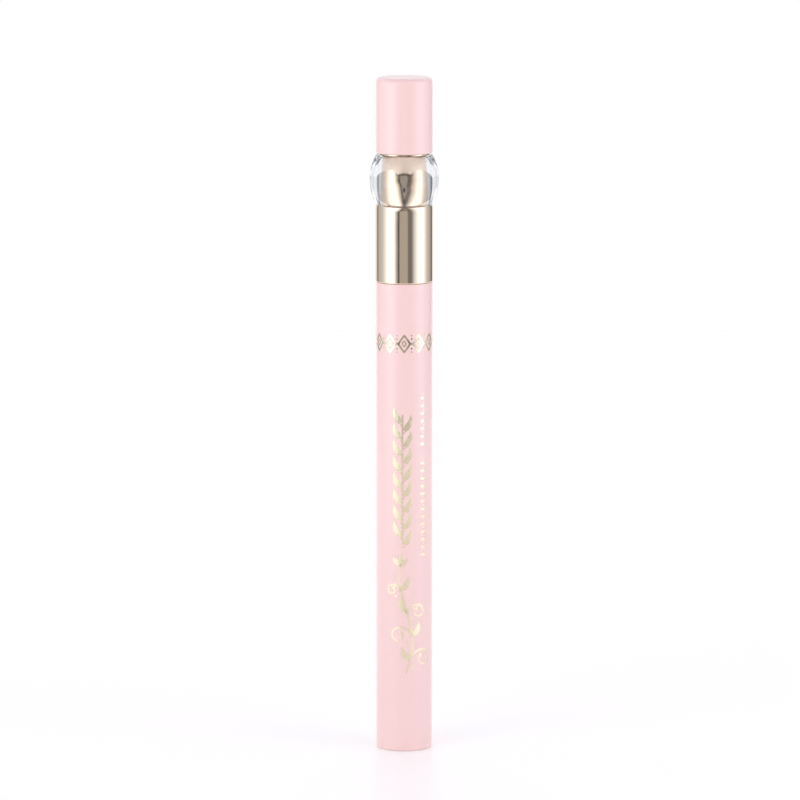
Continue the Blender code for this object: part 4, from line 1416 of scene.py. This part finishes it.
class EYELINER_OT_barrel(bpy.types.Operator):
    """Makes the barrel, its tail plug and the mixing ball"""

    bl_idname = "eyeliner.barrel"
    bl_label = "Barrel"

    def execute(self, context):
        make_barrel(context.scene.eyeliner_sizes)
        make_tail_plug()
        make_mixing_ball()
        return {"FINISHED"}


class EYELINER_OT_print(bpy.types.Operator):
    """Stamps the foil band, vine, beads and sprig onto the barrel"""

    bl_idname = "eyeliner.foil_print"
    bl_label = "Foil Print"

    def execute(self, context):
        sizes = context.scene.eyeliner_sizes
        make_foil_band(sizes)
        make_foil_vine(sizes)
        make_foil_sprig(sizes)
        return {"FINISHED"}


class EYELINER_OT_writing_end(bpy.types.Operator):
    """Makes the front section and the brush, and gives the feed and the wick their finishes"""

    bl_idname = "eyeliner.writing_end"
    bl_label = "Writing End"

    def execute(self, context):
        make_front_section()
        make_brush(context.scene.eyeliner_sizes)
        slots = {"ink_collector": "white_plastic", "wick": "bonded_fibre", "wick_bush": "white_plastic"}
        for name, slot in slots.items():
            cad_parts[name].material_slots[0].material = finish_of(slot)
        return {"FINISHED"}


class EYELINER_OT_cap(bpy.types.Operator):
    """Makes the cap: ferrule, bead and core, collar and pink end"""

    bl_idname = "eyeliner.cap"
    bl_label = "Cap"

    def execute(self, context):
        sizes = context.scene.eyeliner_sizes
        make_ferrule(sizes)
        make_core()
        make_bead(sizes)
        make_collar()
        make_cap_end(sizes)
        return {"FINISHED"}


class EYELINER_OT_cap_inside(bpy.types.Operator):
    """Makes the liner, the inner cap and its spring"""

    bl_idname = "eyeliner.cap_inside"
    bl_label = "Cap Inside"

    def execute(self, context):
        make_liner()
        make_inner_cap()
        make_spring()
        return {"FINISHED"}


OPERATORS = (
    EYELINER_OT_studio,
    EYELINER_OT_barrel,
    EYELINER_OT_print,
    EYELINER_OT_writing_end,
    EYELINER_OT_cap,
    EYELINER_OT_cap_inside,
)
GROUPS = {
    "eyeliner_sizes": EyelinerSizes,
    "eyeliner_colours": EyelinerColours,
    "eyeliner_studio": EyelinerStudio,
}


class EYELINER_PT_panel(bpy.types.Panel):
    """Lists the pen's operators, sizes and colours"""

    bl_idname = "EYELINER_PT_panel"
    bl_label = "Eyeliner Pen"
    bl_space_type = "VIEW_3D"
    bl_region_type = "UI"
    bl_category = "Eyeliner"

    def draw(self, context):
        for operator in OPERATORS:
            self.layout.operator(operator.bl_idname)
        for name in GROUPS:
            group = getattr(context.scene, name)
            box = self.layout.box()
            for label in group.__annotations__:
                box.prop(group, label)


def register():
    for made in (*GROUPS.values(), *OPERATORS, EYELINER_PT_panel):
        bpy.utils.register_class(made)
    for name, group in GROUPS.items():
        setattr(bpy.types.Scene, name, bpy.props.PointerProperty(type=group))


def unregister():
    for name in GROUPS:
        delattr(bpy.types.Scene, name)
    for made in (EYELINER_PT_panel, *reversed(OPERATORS), *reversed(GROUPS.values())):
        bpy.utils.unregister_class(made)


def main():
    register()
    bpy.ops.eyeliner.studio()
    bpy.ops.eyeliner.barrel()
    bpy.ops.eyeliner.foil_print()
    bpy.ops.eyeliner.writing_end()
    bpy.ops.eyeliner.cap()
    bpy.ops.eyeliner.cap_inside()


if __name__ == "__main__":
    main()
